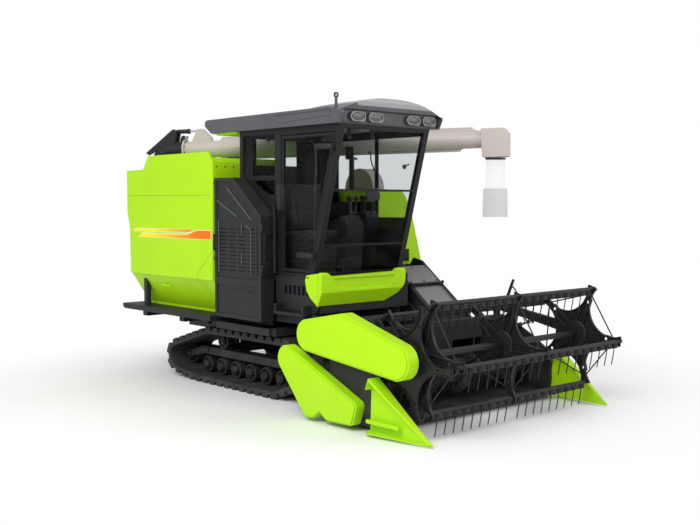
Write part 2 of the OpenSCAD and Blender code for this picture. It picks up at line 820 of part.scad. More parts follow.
module thresher_body() {
    color(dark) {
        difference() {
            union() {
                box(thresher_rear, -640, thresher_right, thresher_left, chassis_top, hood_base);
                box(-640.5, 0, thresher_inner, thresher_left, chassis_top, hood_base);
                translate([0, feeder_y, 0]) both() feeder_trunnion();
            }
            for (x = [-2150:420:-300]) {
                box(x, x + 340, thresher_left - 14, thresher_left + 5, chassis_top + 70, hood_base - 70);
            }
        }
    }
}

module hood_section() {
    polygon([[thresher_right, hood_base], [thresher_left - 2, hood_base], [thresher_left - 12, 1220],
        [thresher_left - 45, 1340], [thresher_left - 131, 1632], [thresher_left - 180, 1740],
        [thresher_left - 225, 1820], [thresher_left - 255, 1852], [thresher_left - 286, hood_top],
        [thresher_right, hood_top]]);
}

module thresher_hood() {
    color(lime) difference() {
        cross(thresher_rear, 0) hood_section();
        box(-640, 10, thresher_right - 5, thresher_inner, hood_base - 5, hood_top + 5);
        box(-14, 10, thresher_inner + 70, thresher_left - 170, 1180, 1300);
    }
}

// Open chute that throws the straw out at the rear
module straw_hood() {
    x0 = deck_rear + 4;
    x1 = thresher_rear;
    outline = [[x1, 1500], [x1 - 90, 1480], [x0, 1300], [x0, 760], [x0 + 120, 700], [x1, 700]];
    color(lime) difference() {
        side(-100, thresher_left - 30) polygon(outline);
        side(-80, thresher_left - 50) polygon([[x1 + 5, 1478], [x1 - 82, 1460], [x0 + 22, 1288], [x0 + 22, 690],
            [x1 + 5, 690]]);
        box(x0 - 5, x0 + 30, -60, thresher_left - 70, 690, 1000);
    }
}

module drum_cover() {
    color(beige) translate([-430, 558, hood_top]) {
        translate([-240, -85, 0]) cube([480, 170, 18]);
        translate([0, 75, 17]) rotate([90, 0, 0]) linear_extrude(150) difference() {
            circle(r = 205);
            translate([-300, -300]) square([600, 300]);
        }
    }
}

module exhaust_pipe() {
    color(steel) translate([-700, -43, hood_top]) difference() {
        union() {
            cylinder(h = 480, r = 40);
            cylinder(h = 20, r = 70);
            translate([0, 0, 200]) cylinder(h = 26, r = 46);
        }
        translate([0, 0, 60]) cylinder(h = 500, r = 35);
    }
}

module at_boom() {
    translate([boom_x, boom_y, boom_z]) rotate([0, -boom_rise, boom_turn]) children();
}

// a place on the vertical axis that the discharge tube swings about
module at_swing(z) {
    back = swing_back * cos(boom_rise);
    translate([boom_x - back * cos(boom_turn), boom_y - back * sin(boom_turn), z]) children();
}

// Post and open saddle under the stowed discharge tube
module unloader_rest() {
    s = 1740;
    color(dark) translate([boom_x + s * cos(boom_turn), boom_y + s * sin(boom_turn), 0])
        rotate(boom_turn) {
            saddle = boom_z + s * sin(boom_rise) - boom_r - 48;
            translate([0, 0, hood_top]) cylinder(h = 16, r = 40);
            translate([0, 0, hood_top + 15]) cylinder(h = saddle - hood_top - 30, r = 26);
            translate([-40, -115, saddle - 20]) cube([80, 215, 22]);
            translate([-40, -115, saddle - 20]) cube([80, 14, 120]);
        }
}

// Screened side door of the engine bay
module screen_outline(d) {
    polygon([[tank_front + 20 + d, deck_top + 8 + d], [-78 - d, deck_top + 8 + d], [-78 - d, 1639 - d * 0.45],
        [-501 - d * 0.35, 1980 - d], [tank_front + 20 + d, 1980 - d]]);
}

// a pressed rib from one point of the door to another
module rib(p, q) {
    side(flank_y + 3, flank_y + 10) wrapped([[p[0], p[1], 9], [q[0], q[1], 9]]);
}

module screen_door() {
    depth = 145;
    color(dark) {
        difference() {
            union() {
                difference() {
                    side(flank_y, flank_y + depth) screen_outline(0);
                    side(flank_y + 18, flank_y + depth + 5) screen_outline(20);
                    difference() {
                        side(flank_y - 1, flank_y + 9) screen_outline(32);
                        box(tank_front, 0, flank_y - 2, flank_y + 10, 1010, 1072);
                    }
                }
                for (z = screen_hinges) {
                    translate([screen_pin_x, screen_pin_y, z + 4]) cylinder(h = 52, r = 15);
                    box(-84, screen_pin_x, flank_y - 15, flank_y + 4, z + 4, z + 56);
                }
            }
            for (z = screen_hinges) {
                translate([screen_pin_x, screen_pin_y, z - 5]) cylinder(h = 80, r = 8.4);
            }
            for (i = [0:11], c = [0:3]) {
                x0 = tank_front + 90 + 145 * c;
                box(x0, x0 + 110, flank_y - 5, flank_y + 25, 1140 + 34 * i, 1146 + 34 * i);
            }
        }
        rib([-590, 1890], [-225, 1604]);
        rib([-740, 1770], [-440, 1632]);
        rib([-725, 1590], [-725, 1120]);
        rib([-150, 1540], [-150, 1120]);
        rib([-620, 960], [-250, 960]);
    }
}

// Glazed cab door
module door_ring(in) {
    polygon([[door_rear + in, door_low + in], [post_x(door_low + in) - post_width - in, door_low + in],
        [post_x(door_high - in) - post_width - in, door_high - in], [door_rear + in, door_high - in]]);
}

module cab_door() {
    color(black) difference() {
        union() {
            side(cab_right + 2, cab_right + 30) difference() {
                door_ring(door_gap);
                door_ring(34);
            }
            for (z = door_hinges) {
                at_hinge(z) {
                    translate([0, 0, -18]) cylinder(h = 36, r = 13);
                    translate([-75, -9, -18]) cube([68, 9, 36]);
                    translate([-75, -9, -18]) cube([30, 34, 36]);
                }
            }
            box(door_rear + 10, door_rear + 34, cab_right - 38, cab_right + 4, handle_z, handle_z + 24);
            box(door_rear + 10, door_rear + 34, cab_right - 38, cab_right - 22, handle_z, handle_z + 160);
            box(door_rear + 10, door_rear + 34, cab_right - 38, cab_right + 4, handle_z + 136, handle_z + 160);
        }
        for (z = door_hinges) {
            at_hinge(z) translate([0, 0, -40]) cylinder(h = 80, r = 7.4);
        }
    }
}

module cab_door_glass() {
    color(tinted) side(cab_right + 12, cab_right + 12 + glass_thick) door_ring(34);
}

// Feeder house, a sloping open-ended box
function feeder_at(u, w) = [lift_x + u * lift_dir[0] + w * lift_up[0], lift_z + u * lift_dir[1] + w * lift_up[1]];
function feeder_z(x, w) = lift_z + w / cos(feeder_slope) - (x - lift_x) * tan(feeder_slope);

module feeder_house() {
    y0 = feeder_y - feeder_width / 2;
    y1 = feeder_y + feeder_width / 2;
    wall = 25;
    plate = 30;
    inner = wall + 0.3;
    color(dark) {
        for (y = [y0, y1 - wall]) {
            side(y, y + wall) difference() {
                polygon([[16, feeder_z(16, feeder_low_w)], [header_back, feeder_z(header_back, feeder_low_w)],
                    [header_back, feeder_z(header_back, feeder_top_w + 22)], feeder_at(10, feeder_top_w + 22),
                    [70, 1216], [30, 1160], [16, lift_z]]);
                translate([lift_x, lift_z]) circle(r = 36);
            }
        }
        side(y0 + inner, y1 - inner) polygon([feeder_at(60, feeder_top_w - plate),
            [header_back, feeder_z(header_back, feeder_top_w - plate)],
            [header_back, feeder_z(header_back, feeder_top_w)], feeder_at(60, feeder_top_w)]);
        difference() {
            union() {
                side(y0 + inner, y1 - inner) polygon([[16, feeder_z(16, feeder_low_w)],
                    [header_back, feeder_z(header_back, feeder_low_w)],
                    [header_back, feeder_z(header_back, feeder_low_w + plate)],
                    [16, feeder_z(16, feeder_low_w + plate)]]);
                for (y = [feeder_y - 42, feeder_y + 24]) {
                    side(y, y + 18) polygon([header_cyl_eye + [-60, 90], header_cyl_eye + [-28, -22],
                        header_cyl_eye + [22, -26], header_cyl_eye + [70, 10]]);
                }
                rod_y(header_cyl_eye[0], header_cyl_eye[1], feeder_y - 42, feeder_y + 42, 13);
            }
            side(feeder_y - 60, feeder_y + 60) polygon([[500, feeder_z(500, feeder_low_w + plate)],
                [700, feeder_z(700, feeder_low_w + plate)], [700, feeder_z(700, feeder_low_w + plate + 60)],
                [500, feeder_z(500, feeder_low_w + plate + 60)]]);
        }
    }
}

// Covers on top of the feeder house
module feeder_covers() {
    y0 = feeder_y - feeder_width / 2 + 30;
    y1 = feeder_y + feeder_width / 2 - 30;
    seat_w = feeder_top_w + 0.3;
    color(beige) {
        side(y0, y1) polygon([feeder_at(70, seat_w), feeder_at(330, seat_w),
            feeder_at(325, feeder_top_w + 26), feeder_at(80, feeder_top_w + 26)]);
        difference() {
            side(y0, y1) polygon([feeder_at(345, seat_w), feeder_at(760, seat_w),
                feeder_at(754, feeder_top_w + 18), feeder_at(351, feeder_top_w + 18)]);
            side(y0 + 24, y1 - 24) polygon([feeder_at(372, feeder_top_w + 12), feeder_at(733, feeder_top_w + 12),
                feeder_at(733, feeder_top_w + 30), feeder_at(372, feeder_top_w + 30)]);
        }
    }
}

// Trough, back wall and side sheets of the header
pan_out = flight_r + 29;
pan_in = flight_r + 17;
function pan_arc(r) = [for (a = [180:15:270]) [auger_x + r * cos(a), auger_z + r * sin(a)]];

module pan_section() {
    polygon(concat([[auger_x - pan_out, header_top]], pan_arc(pan_out),
        [[auger_x + 90, auger_z - pan_out], [knife_x, knife_z - 12], [knife_x, knife_z],
        [auger_x + 92, auger_z - pan_in]],
        [for (i = [6:-1:0]) pan_arc(pan_in)[i]], [[auger_x - pan_in, header_top]]));
}

module side_section() {
    polygon([[header_back, 120], [header_back + 60, 70], [auger_x, 62], [knife_x + 10, knife_z - 14],
        [knife_x + 24, 180], [1480, 410], [1290, 540], [1010, header_top - 20], [header_back, header_top - 10]]);
}

module header_pan() {
    in = header_half - side_sheet;
    color(dark) difference() {
        union() {
            side(-in, in) pan_section();
            both() side(in, header_half) side_section();
            side(-in, in) polygon([[header_back - 50, header_top - 60], [header_back + 14, header_top - 60],
                [header_back + 14, header_top + 10], [header_back - 50, header_top + 10]]);
            both() side(in - 60, in - 36) polygon([[header_back - 5, 600], [header_back - 5, header_top + 10],
                [arm_x + 44, arm_z + 10], [arm_x + 25, arm_z + 42], [arm_x - 25, arm_z + 42],
                [arm_x - 44, arm_z], [header_back - 50, 640]]);
            both() for (y = [reel_cyl_y - 34, reel_cyl_y + 20]) {
                side(y, y + 10) polygon([[header_back + 8, 530], reel_cyl_base + [14, -22],
                    reel_cyl_base + [18, 14], [header_back + 8, 640]]);
            }
            both() rod_y(reel_cyl_base[0], reel_cyl_base[1], reel_cyl_y - 34, reel_cyl_y + 30, 9);
            both() side(in - 120, in - 40) polygon([[1060, 106], [1080, 101], [1160, 87], [1250, 86], [1400, 54],
                [1415, 40], [1370, 14], [1120, 14], [1060, 50]]);
        }
        box(header_back - 60, header_back + 60, feeder_y - feeder_width / 2 + 25, feeder_y + feeder_width / 2 - 25,
            feeder_z(header_back, feeder_low_w + 30) + 20, feeder_z(header_back, feeder_top_w - 30));
        both() rod_y(arm_x, arm_z, in - 70, in - 30, 30.5);
        both() rod_y(auger_x, auger_z, in - 5, header_half + 5, 32.5);
    }
}

// Knife bar with its row of pointed guards
module knife_bar() {
    half = header_half - side_sheet - 12;
    step = 2 * half / guard_count;
    color(steel) {
        box(knife_x + 0.5, knife_x + 40, -half, half, knife_z - 12, knife_z + 2);
        for (i = [0:guard_count - 1]) {
            translate([knife_x + 38, -half + (i + 0.5) * step, knife_z - 10]) linear_extrude(14)
                polygon([[0, -11], [24, -9], [70, -2], [70, 2], [24, 9], [0, 11]]);
        }
    }
}

// Pointed sheet dividers at both ends of the header
module divider_one() {
    x0 = 1425;
    x1 = x0 + divider_length;
    y0 = header_half;
    side(y0, y0 + 12) polygon([[x0, 24], [x1, 12], [x1, 22], [1820, 205], [1503, 446], [1436, 354]]);
    intersection() {
        side(y0 + 11, y0 + 120) {
            polygon([[x0, 24], [x1, 12], [1960, 26], [x0 + 10, 36]]);
            polygon([[1436, 354], [1503, 446], [1820, 205], [x1, 22], [x1 - 40, 22], [1812, 190],
                [1504, 424], [1446, 348]]);
        }
        linear_extrude(500) polygon([[x0 - 5, y0 + 10], [x1, y0 + 10], [x1, y0 + 14], [1503, y0 + 112],
            [x0 - 5, y0 + 70]]);
    }
    box(x0 + 5, 1780, y0 + 40, y0 + 64, 92, 120);
    for (x = [1450, 1600]) {
        box(x, x + 24, y0 + 11, y0 + 42, 92, 116);
    }
}

module dividers() {
    color(lime) both() divider_one();
}

// Housing of the header's side drive
module drive_outline(grow) {
    difference() {
        wrapped([[488, 474, 112], [742, 66, 34], [1262, 94, 50], [1302, 198, 44]], grow, 0.06);
        polygon([[768, -5], [918, 95 - grow], [1068, -5]]);
    }
}

module header_drive_cover() {
    y1 = -header_half;
    color(lime) {
        side(y1 - 82, y1) drive_outline(0);
        side(y1 - 94, y1 - 82) drive_outline(-14);
    }
}

// Feed auger: tube, two opposed flights and the fingers at the feeder's mouth
module flight(y0, y1, turns) {
    translate([auger_x, y0, auger_z]) rotate([-90, 0, 0])
        linear_extrude(y1 - y0, twist = 360 * turns, slices = ceil(18 * abs(turns)), $fn = 4)
        translate([auger_tube_r - 5, -flight_foot / 2]) square([flight_r - auger_tube_r + 4, flight_foot]);
}

module header_auger() {
    end = header_half - side_sheet - 10;
    mouth = [feeder_y - feeder_width / 2, feeder_y + feeder_width / 2];
    color(dark) {
        rod_y(auger_x, auger_z, -end, end, auger_tube_r);
        both() rod_y(auger_x, auger_z, end - 2, header_half - 1, 32);
        flight(-end, mouth[0] + 20, (mouth[0] + end) / flight_pitch);
        flight(mouth[1] - 20, end, -(end - mouth[1]) / flight_pitch);
        for (i = [0:9]) {
            y = mouth[0] + 40 + i * (feeder_width - 80) / 9;
            translate([auger_x, y, auger_z]) rotate([0, i * 108, 0]) cylinder(h = auger_tube_r + 36, r = 8, $fn = 16);
        }
    }
}

// Lifting arms of the reel with their cross tube
module arm_one() {
    difference() {
        union() {
            side(arm_in, arm_out) difference() {
                polygon([[arm_x - 40, arm_z + 30], [arm_x + 40, arm_z + 46], [1200, 770], [reel_x, reel_z + 52],
                    [reel_x + 52, reel_z], [reel_x, reel_z - 52], [1240, 690], [arm_x + 30, arm_z - 52],
                    [arm_x - 40, arm_z - 30]]);
                translate([reel_x, reel_z]) circle(r = 26);
            }
            rod_y(reel_cyl_eye[0], reel_cyl_eye[1], reel_cyl_y - 22, arm_in + 2, 9);
            side(arm_in, arm_in + 14) polygon([[1225, 700], reel_cyl_eye + [-18, -16], reel_cyl_eye + [18, -16],
                [1315, 700]]);
        }
        rod_y(arm_x, arm_z, arm_in + 5, arm_out + 5, 12);
    }
}

module reel_arms() {
    ex = -control_shift;
    color(dark) {
        both() arm_one();
        rod_y(arm_x, arm_z, -arm_in - 1, arm_in + 1, 29.5);
        difference() {
            union() {
                translate([ex, 0, ex]) rod_y(reel_x, reel_z, -arm_in - 1, control_y + 9, 118);
            }
            rod_y(reel_x, reel_z, -arm_in - 5, control_y + 20, 26);
        }
    }
}

// Long housing of the reel drive on the right arm
module reel_drive_cover() {
    ends = [[arm_x - 110, arm_z - 90, 128], [reel_x - 8, reel_z - 25, 135], [arm_x + 315, arm_z + 72, 48]];
    color(lime) {
        side(cover_out + 12, -arm_out) wrapped(ends, 0, 0.06);
        side(cover_out, cover_out + 12) wrapped(ends, -16, 0.06);
    }
}

// Five-armed star with scalloped edges and a raised rim
module star(bore) {
    difference() {
        circle(r = star_r);
        for (i = [0:reel_bars - 1]) {
            rotate(reel_turn + (i + 0.5) * bar_step) translate([430, 0]) circle(r = 228);
        }
        for (i = [0:reel_bars - 1]) {
            rotate(reel_turn + i * bar_step) translate([bar_circle, 0]) circle(r = bore);
            rotate(reel_turn + i * bar_step) translate([300, 0]) circle(r = 13);
        }
    }
}

module scallop_rims(depth) {
    linear_extrude(depth) intersection() {
        circle(r = star_r);
        difference() {
            for (i = [0:reel_bars - 1]) {
                rotate(reel_turn + (i + 0.5) * bar_step) translate([430, 0]) circle(r = 233);
            }
            for (i = [0:reel_bars - 1]) {
                rotate(reel_turn + (i + 0.5) * bar_step) translate([430, 0]) circle(r = 228);
                rotate(reel_turn + i * bar_step) translate([bar_circle, 0]) circle(r = bar_r + 14);
            }
        }
    }
}

module star_plate(y, bore) {
    translate([reel_x, y, reel_z]) rotate([90, 0, 0]) {
        translate([0, 0, -4]) linear_extrude(8) star(bore);
        translate([0, 0, 3]) scallop_rims(16);
    }
}

function bar_at(i) = [reel_x + bar_circle * cos(reel_turn + i * bar_step),
    reel_z + bar_circle * sin(reel_turn + i * bar_step)];

module tie_rods(y) {
    for (i = [0:reel_bars - 1]) {
        p = bar_at(i) + 0.11 * ([reel_x, reel_z] - bar_at(i));
        q = bar_at(i + 1) + 0.11 * ([reel_x, reel_z] - bar_at(i + 1));
        rod([p[0], y, p[1]], [q[0], y, q[1]], 6, 8);
    }
}

module reel_rotor() {
    color(black) {
        rod_y(reel_x, reel_z, -arm_out + 1, arm_out - 1, 25);
        for (y = [star_right, 0, star_left]) {
            star_plate(y, bar_r + 0.6);
            tie_rods(y + 3);
            rod_y(reel_x, reel_z, y - 14, y + 14, 105);
        }
    }
}

module reel_control() {
    color(black) translate([-control_shift, 0, -control_shift]) difference() {
        union() {
            star_plate(control_y, 11.6);
            rod_y(reel_x, reel_z, control_y - 8, control_y + 8, 150);
        }
        rod_y(reel_x, reel_z, control_y - 40, control_y + 40, 118.6);
    }
}

// A tine bar: tube, clamp strip, spring tines and the crank to the control star
module tine_shape() {
    t = tine_thick;
    polygon([[-4, -8], [-4 + t, -8], [4 + t, -60], [-4 + t, -110], [-20 + t, -tine_length], [-20, -tine_length],
        [-4, -108], [4, -60]]);
}

module reel_bar(i) {
    p = bar_at(i);
    crank = -control_shift;
    spans = [[star_right + 26, -26], [26, star_left - 26]];
    color(black) translate([p[0], 0, p[1]]) {
        rod_y(0, 0, star_right - 36, star_left + bar_over, bar_r);
        for (s = spans) {
            side(s[0], s[1]) polygon([[-7, -12], [-7, -52], [7, -52], [7, -12]]);
            step = (s[1] - s[0]) / tines_per_half;
            for (k = [0:tines_per_half - 1]) {
                y = s[0] + (k + 0.5) * step;
                side(y - tine_thick / 2, y + tine_thick / 2) tine_shape();
                side(y - 20, y + 20) polygon([[-13, -20], [-13, -50], [13, -50], [13, -20]]);
            }
        }
        side(star_right - 48, star_right - 35) polygon([[20, 8], [8, 20], crank * [1, 1] + [-16, 6],
            crank * [1, 1] + [-16, -10], crank * [1, 1] + [-8, -16], crank * [1, 1] + [8, -16]]);
        rod_y(crank, crank, control_y - 14, star_right - 36, 11);
    }
}

module reel_bar_1() {
    reel_bar(0);
}

module reel_bar_2() {
    reel_bar(1);
}

module reel_bar_3() {
    reel_bar(2);
}

module reel_bar_4() {
    reel_bar(3);
}

module reel_bar_5() {
    reel_bar(4);
}

// Discharge tube: standing pipe and elbow that turn, the tube that lifts, and its sleeve
module unloader_elbow() {
    bend = 150;
    color(dark) {
        difference() {
            union() {
                at_boom() {
                    translate([-swing_back + bend, 0, 0]) rotate([0, 90, 0])
                        cylinder(h = swing_back - bend - 26, r = boom_r + 4);
                    translate([-28, 0, 0]) rotate([0, 90, 0]) cylinder(h = 24, r = boom_r + 24);
                    translate([-swing_back + bend, 0, -bend]) rotate([90, 0, 0])
                        rotate(90) rotate_extrude(angle = 90) translate([bend, 0]) circle(r = boom_r + 4);
                    side(-70, -54) polygon([[-swing_back - 125, -20], [-swing_back - 90, -45],
                        [-swing_back + 60, 30], [-swing_back + 140, 40], [-swing_back + 180, 40],
                        boom_cyl_base + [24, -14], boom_cyl_base + [8, 22], boom_cyl_base + [-20, 16]]);
                    side(54, 70) polygon([[-swing_back + 60, 40], [-swing_back + 180, 40],
                        boom_cyl_base + [24, -14], boom_cyl_base + [8, 22], boom_cyl_base + [-20, 16]]);
                    rod_y(boom_cyl_base[0], boom_cyl_base[1], -70, 70, 9);
                    for (y = [-60, 35]) {
                        side(y, y + 25) polygon([[-28, 80], [-4, 80], [-4, 104], [16, boom_hinge_z - 10],
                            [16, boom_hinge_z + 14], [-10, boom_hinge_z + 14], [-28, 104]]);
                    }
                    rod_y(0, boom_hinge_z, -60, 60, 9);
                }
                at_swing(step_top + 3) cylinder(h = 70, r = boom_r + 4);
                at_swing(step_top + 3) cylinder(h = 22, r = boom_r + 22);
            }
            at_swing(step_top - 3) cylinder(h = 58, r = swing_pin + 0.5);
        }
    }
}

module unloader_tube() {
    color(beige) {
        at_boom() difference() {
            union() {
                rotate([0, 90, 0]) cylinder(h = boom_length - 20, r = boom_r);
                rotate([0, 90, 0]) cylinder(h = 20, r = boom_r + 24);
                for (y = [-33, 21]) {
                    side(y, y + 12) polygon([[70, 60], [300, 60], [290, 120], [205, boom_cyl_eye[1] + 18],
                        [150, boom_cyl_eye[1] + 18], [110, 130]]);
                }
                rod_y(boom_cyl_eye[0], boom_cyl_eye[1], -33, 33, 9);
                side(-30, 30) {
                    translate([0, boom_hinge_z]) circle(r = 14);
                    polygon([[1, 80], [18, 80], [18, boom_hinge_z], [1, boom_hinge_z + 13]]);
                }
                side(-4, 4) polygon([[360, 70], [400, 70 + 44], [2920, 70 + 44], [3010, 70]]);
                side(-4, 4) polygon([[360, -70], [400, -70 - 36], [2800, -70 - 36], [2880, -70]]);
                side(-spout_half, spout_half) {
                    wrapped([[boom_length - spout_round, boom_r + 12 - spout_round, spout_round],
                        [boom_length - 260, boom_r + 2, 10], [boom_length - 250, 12 - spout_depth, 12],
                        [boom_length - 12, 12 - spout_depth, 12]], 0, 0.06);
                }
            }
            rod_y(0, boom_hinge_z, -40, 40, 9.4);
            translate([boom_length - 245, -spout_half + 15, -spout_depth - 5]) cube([225, 2 * spout_half - 30, spout_depth + 60]);
            translate([boom_length - 10, 0, 0]) rotate([0, 90, 0]) cylinder(h = 30, r = 34);
        }
    }
}

sleeve_s = boom_length - 135;
sleeve_x = boom_x + sleeve_s * cos(boom_rise) * cos(boom_turn);
sleeve_y = boom_y + sleeve_s * cos(boom_rise) * sin(boom_turn);
sleeve_top = boom_z + sleeve_s * sin(boom_rise) - 100;

module unloader_sleeve() {
    color([0.85, 0.85, 0.83]) translate([sleeve_x, sleeve_y, sleeve_low]) {
        difference() {
            cylinder(h = sleeve_top - sleeve_low, r1 = sleeve_r, r2 = spout_half - 15.3);
            translate([0, 0, -1]) cylinder(h = sleeve_top - sleeve_low + 2, r1 = sleeve_r - 4, r2 = spout_half - 19.3);
        }
    }
}

// Hydraulic cylinders drawn along their own axis from the lower eye
module barrel(length, r, bore, eye, width) {
    difference() {
        union() {
            translate([0, 0, 0]) rotate([90, 0, 0]) cylinder(h = width, r = eye + 8, center = true);
            translate([eye, 0, 0]) rotate([0, 90, 0]) cylinder(h = length - eye, r = r);
            translate([length - 26, 0, 0]) rotate([0, 90, 0]) cylinder(h = 26, r = r + 4);
        }
        rotate([90, 0, 0]) cylinder(h = width + 5, r = eye + 0.4, center = true);
        translate([eye + 22, 0, 0]) rotate([0, 90, 0]) cylinder(h = length, r = bore);
    }
}

module piston(from, to, r, eye, width, slack = 0.4) {
    difference() {
        union() {
            translate([from, 0, 0]) rotate([0, 90, 0]) cylinder(h = to - from - eye - slack, r = r);
            translate([to, 0, 0]) rotate([90, 0, 0]) cylinder(h = width, r = eye + slack + 9, center = true);
        }
        translate([to, 0, 0]) rotate([90, 0, 0]) cylinder(h = width + 5, r = eye + slack, center = true);
    }
}

module on_line(a, b, y) {
    translate([a[0], y, a[1]]) rotate([0, -atan2(b[1] - a[1], b[0] - a[0]), 0]) children();
}

module header_barrel() {
    color(dark) on_line(header_cyl_base, header_cyl_eye, feeder_y) barrel(450, 33, 18.6, 15, 46);
}

module header_rod() {
    reach = norm(header_cyl_eye - header_cyl_base);
    color(steel) on_line(header_cyl_base, header_cyl_eye, feeder_y)
        piston(reach - 535, reach, 18, 13, 36, 8);
}

module reel_barrels() {
    color(dark) both() on_line(reel_cyl_base, reel_cyl_eye, reel_cyl_y) barrel(205, 18, 10.6, 9, 34);
}

module reel_rods() {
    reach = norm(reel_cyl_eye - reel_cyl_base);
    color(steel) both() on_line(reel_cyl_base, reel_cyl_eye, reel_cyl_y) piston(reach - 200, reach, 10, 9, 28, 2.4);
}

module unloader_barrel() {
    color(dark) at_boom() on_line(boom_cyl_base, boom_cyl_eye, 0) barrel(150, 22, 11.6, 9, 60);
}

module unloader_rod() {
    reach = norm(boom_cyl_eye - boom_cyl_base);
    color(steel) at_boom() on_line(boom_cyl_base, boom_cyl_eye, 0) piston(reach - 190, reach, 11, 9, 34, 2.2);
}

placed() {
    chassis_frame();
    track_left();
    track_right();
    track_frames();
    track_wheels();
    drive_gearbox();
    engine();
    rear_deck();
    cab_base();
    cab_right_frame();
    cab_left_wall();
    cab_rear_wall();
    cab_front_frame();
    cab_roof();
    lamps();
    cab_glass();
    seat();
    control_console();
    front_bumper();
    entry_step();
    grab_handle();
    tank_side();
    tank_shell();
    thresher_body();
    thresher_hood();
    straw_hood();
    drum_cover();
    exhaust_pipe();
    unloader_rest();
    screen_door();
    cab_door();
    cab_door_glass();
    feeder_house();
    feeder_covers();
    header_pan();
    knife_bar();
    dividers();
    header_drive_cover();
    header_auger();
    reel_arms();
    reel_drive_cover();
    reel_rotor();
    reel_control();
    reel_bar_1();
    reel_bar_2();
    reel_bar_3();
    reel_bar_4();
    reel_bar_5();
    unloader_elbow();
    unloader_tube();
    unloader_sleeve();
    header_barrel();
    header_rod();
    reel_barrels();
    reel_rods();
    unloader_barrel();
    unloader_rod();
}
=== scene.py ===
"""Looks of a combine harvester on crawler tracks.

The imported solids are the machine. This script paints them, and adds what the solids leave out:
the padded seat, the clear discharge sleeve, the flank stripe, seams, bolts, lamp lenses, the wiper
and the small fittings. Places are in the source's millimetres and go through place().
"""

import math

import bmesh
import bpy
from mathutils import Matrix, Vector


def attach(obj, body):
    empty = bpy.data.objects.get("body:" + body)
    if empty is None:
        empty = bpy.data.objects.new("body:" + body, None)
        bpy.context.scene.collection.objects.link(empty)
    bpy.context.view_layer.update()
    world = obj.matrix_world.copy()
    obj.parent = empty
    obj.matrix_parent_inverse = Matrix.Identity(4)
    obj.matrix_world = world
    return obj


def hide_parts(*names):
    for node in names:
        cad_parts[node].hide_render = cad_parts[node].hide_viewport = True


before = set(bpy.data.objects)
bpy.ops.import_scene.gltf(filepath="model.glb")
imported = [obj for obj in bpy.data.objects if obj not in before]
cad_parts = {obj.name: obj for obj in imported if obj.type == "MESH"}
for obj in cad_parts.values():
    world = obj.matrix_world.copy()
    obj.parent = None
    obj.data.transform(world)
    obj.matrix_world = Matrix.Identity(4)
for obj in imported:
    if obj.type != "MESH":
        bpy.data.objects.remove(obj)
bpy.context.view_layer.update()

SHIFT = Vector((125.0, -118.428, 0.0))


def place(x, y, z):
    """A point of the source, in millimetres, as a point of the frame, in metres."""
    return (Vector((x, y, z)) + SHIFT) / 1000


# Shader groups

def add(tree, kind):
    """A new shader node of this kind."""
    return tree.nodes.new("ShaderNode" + kind)


def group(name, inputs, outputs):
    """An empty shader group with these sockets, and its input and output nodes."""
    tree = bpy.data.node_groups.new(name, "ShaderNodeTree")
    for label, value in inputs:
        tree.interface.new_socket(label, in_out="INPUT", socket_type="NodeSocketFloat").default_value = value
    for label, kind in outputs:
        tree.interface.new_socket(label, in_out="OUTPUT", socket_type=kind)
    return tree, tree.nodes.new("NodeGroupInput"), tree.nodes.new("NodeGroupOutput")


def feed(tree, socket, value):
    """Links a socket to another one, or sets it to a plain value."""
    if isinstance(value, bpy.types.NodeSocket):
        tree.links.new(value, socket)
    else:
        socket.default_value = value


def wire(tree, node, values):
    """Sets or links a node's inputs by their names."""
    for label, value in values.items():
        feed(tree, node.inputs[label], value)


def math_node(tree, operation, *values):
    """A Math node with its inputs set or linked."""
    node = add(tree, "Math")
    node.operation = operation
    for socket, value in zip(node.inputs, values):
        feed(tree, socket, value)
    return node.outputs[0]


def times(tree, product, *others):
    """The product of masks or values."""
    for other in others:
        product = math_node(tree, "MULTIPLY", product, other)
    return product


def opposite(tree, mask):
    """1 where the mask is 0, and 0 where it is 1."""
    return math_node(tree, "SUBTRACT", 1.0, mask)


def ramp(tree, value, low, high):
    """The value brought from low...high to 0...1, smoothly."""
    node = add(tree, "MapRange")
    node.interpolation_type = "SMOOTHSTEP"
    wire(tree, node, {"Value": value, "From Min": low, "From Max": high})
    return node.outputs[0]


def here(tree):
    """The object's own coordinates."""
    return add(tree, "TexCoord").outputs["Object"]


def noise(tree, scale, detail=3.0, roughness=0.55):
    """Noise over the object's own coordinates."""
    node = add(tree, "TexNoise")
    wire(tree, node, {"Vector": here(tree), "Scale": scale, "Detail": detail, "Roughness": roughness})
    return node.outputs["Fac"]


def axes(tree):
    """The object's own X, Y and Z."""
    split = add(tree, "SeparateXYZ")
    tree.links.new(here(tree), split.inputs[0])
    return split.outputs["X"], split.outputs["Y"], split.outputs["Z"]


def make_rounded_edges():
    """Edges rounded in the shading, and a mask of where they are."""
    tree, given, out = group("rounded_edges", [("Radius", 0.004)],
                             [("Normal", "NodeSocketVector"), ("Edge", "NodeSocketFloat")])
    bevel = add(tree, "Bevel")
    bevel.samples = 4
    tree.links.new(given.outputs["Radius"], bevel.inputs["Radius"])
    flat = add(tree, "NewGeometry")
    dot = add(tree, "VectorMath")
    dot.operation = "DOT_PRODUCT"
    tree.links.new(bevel.outputs["Normal"], dot.inputs[0])
    tree.links.new(flat.outputs["Normal"], dot.inputs[1])
    tree.links.new(bevel.outputs["Normal"], out.inputs["Normal"])
    tree.links.new(ramp(tree, opposite(tree, dot.outputs["Value"]), 0.02, 0.2), out.inputs["Edge"])
    return tree


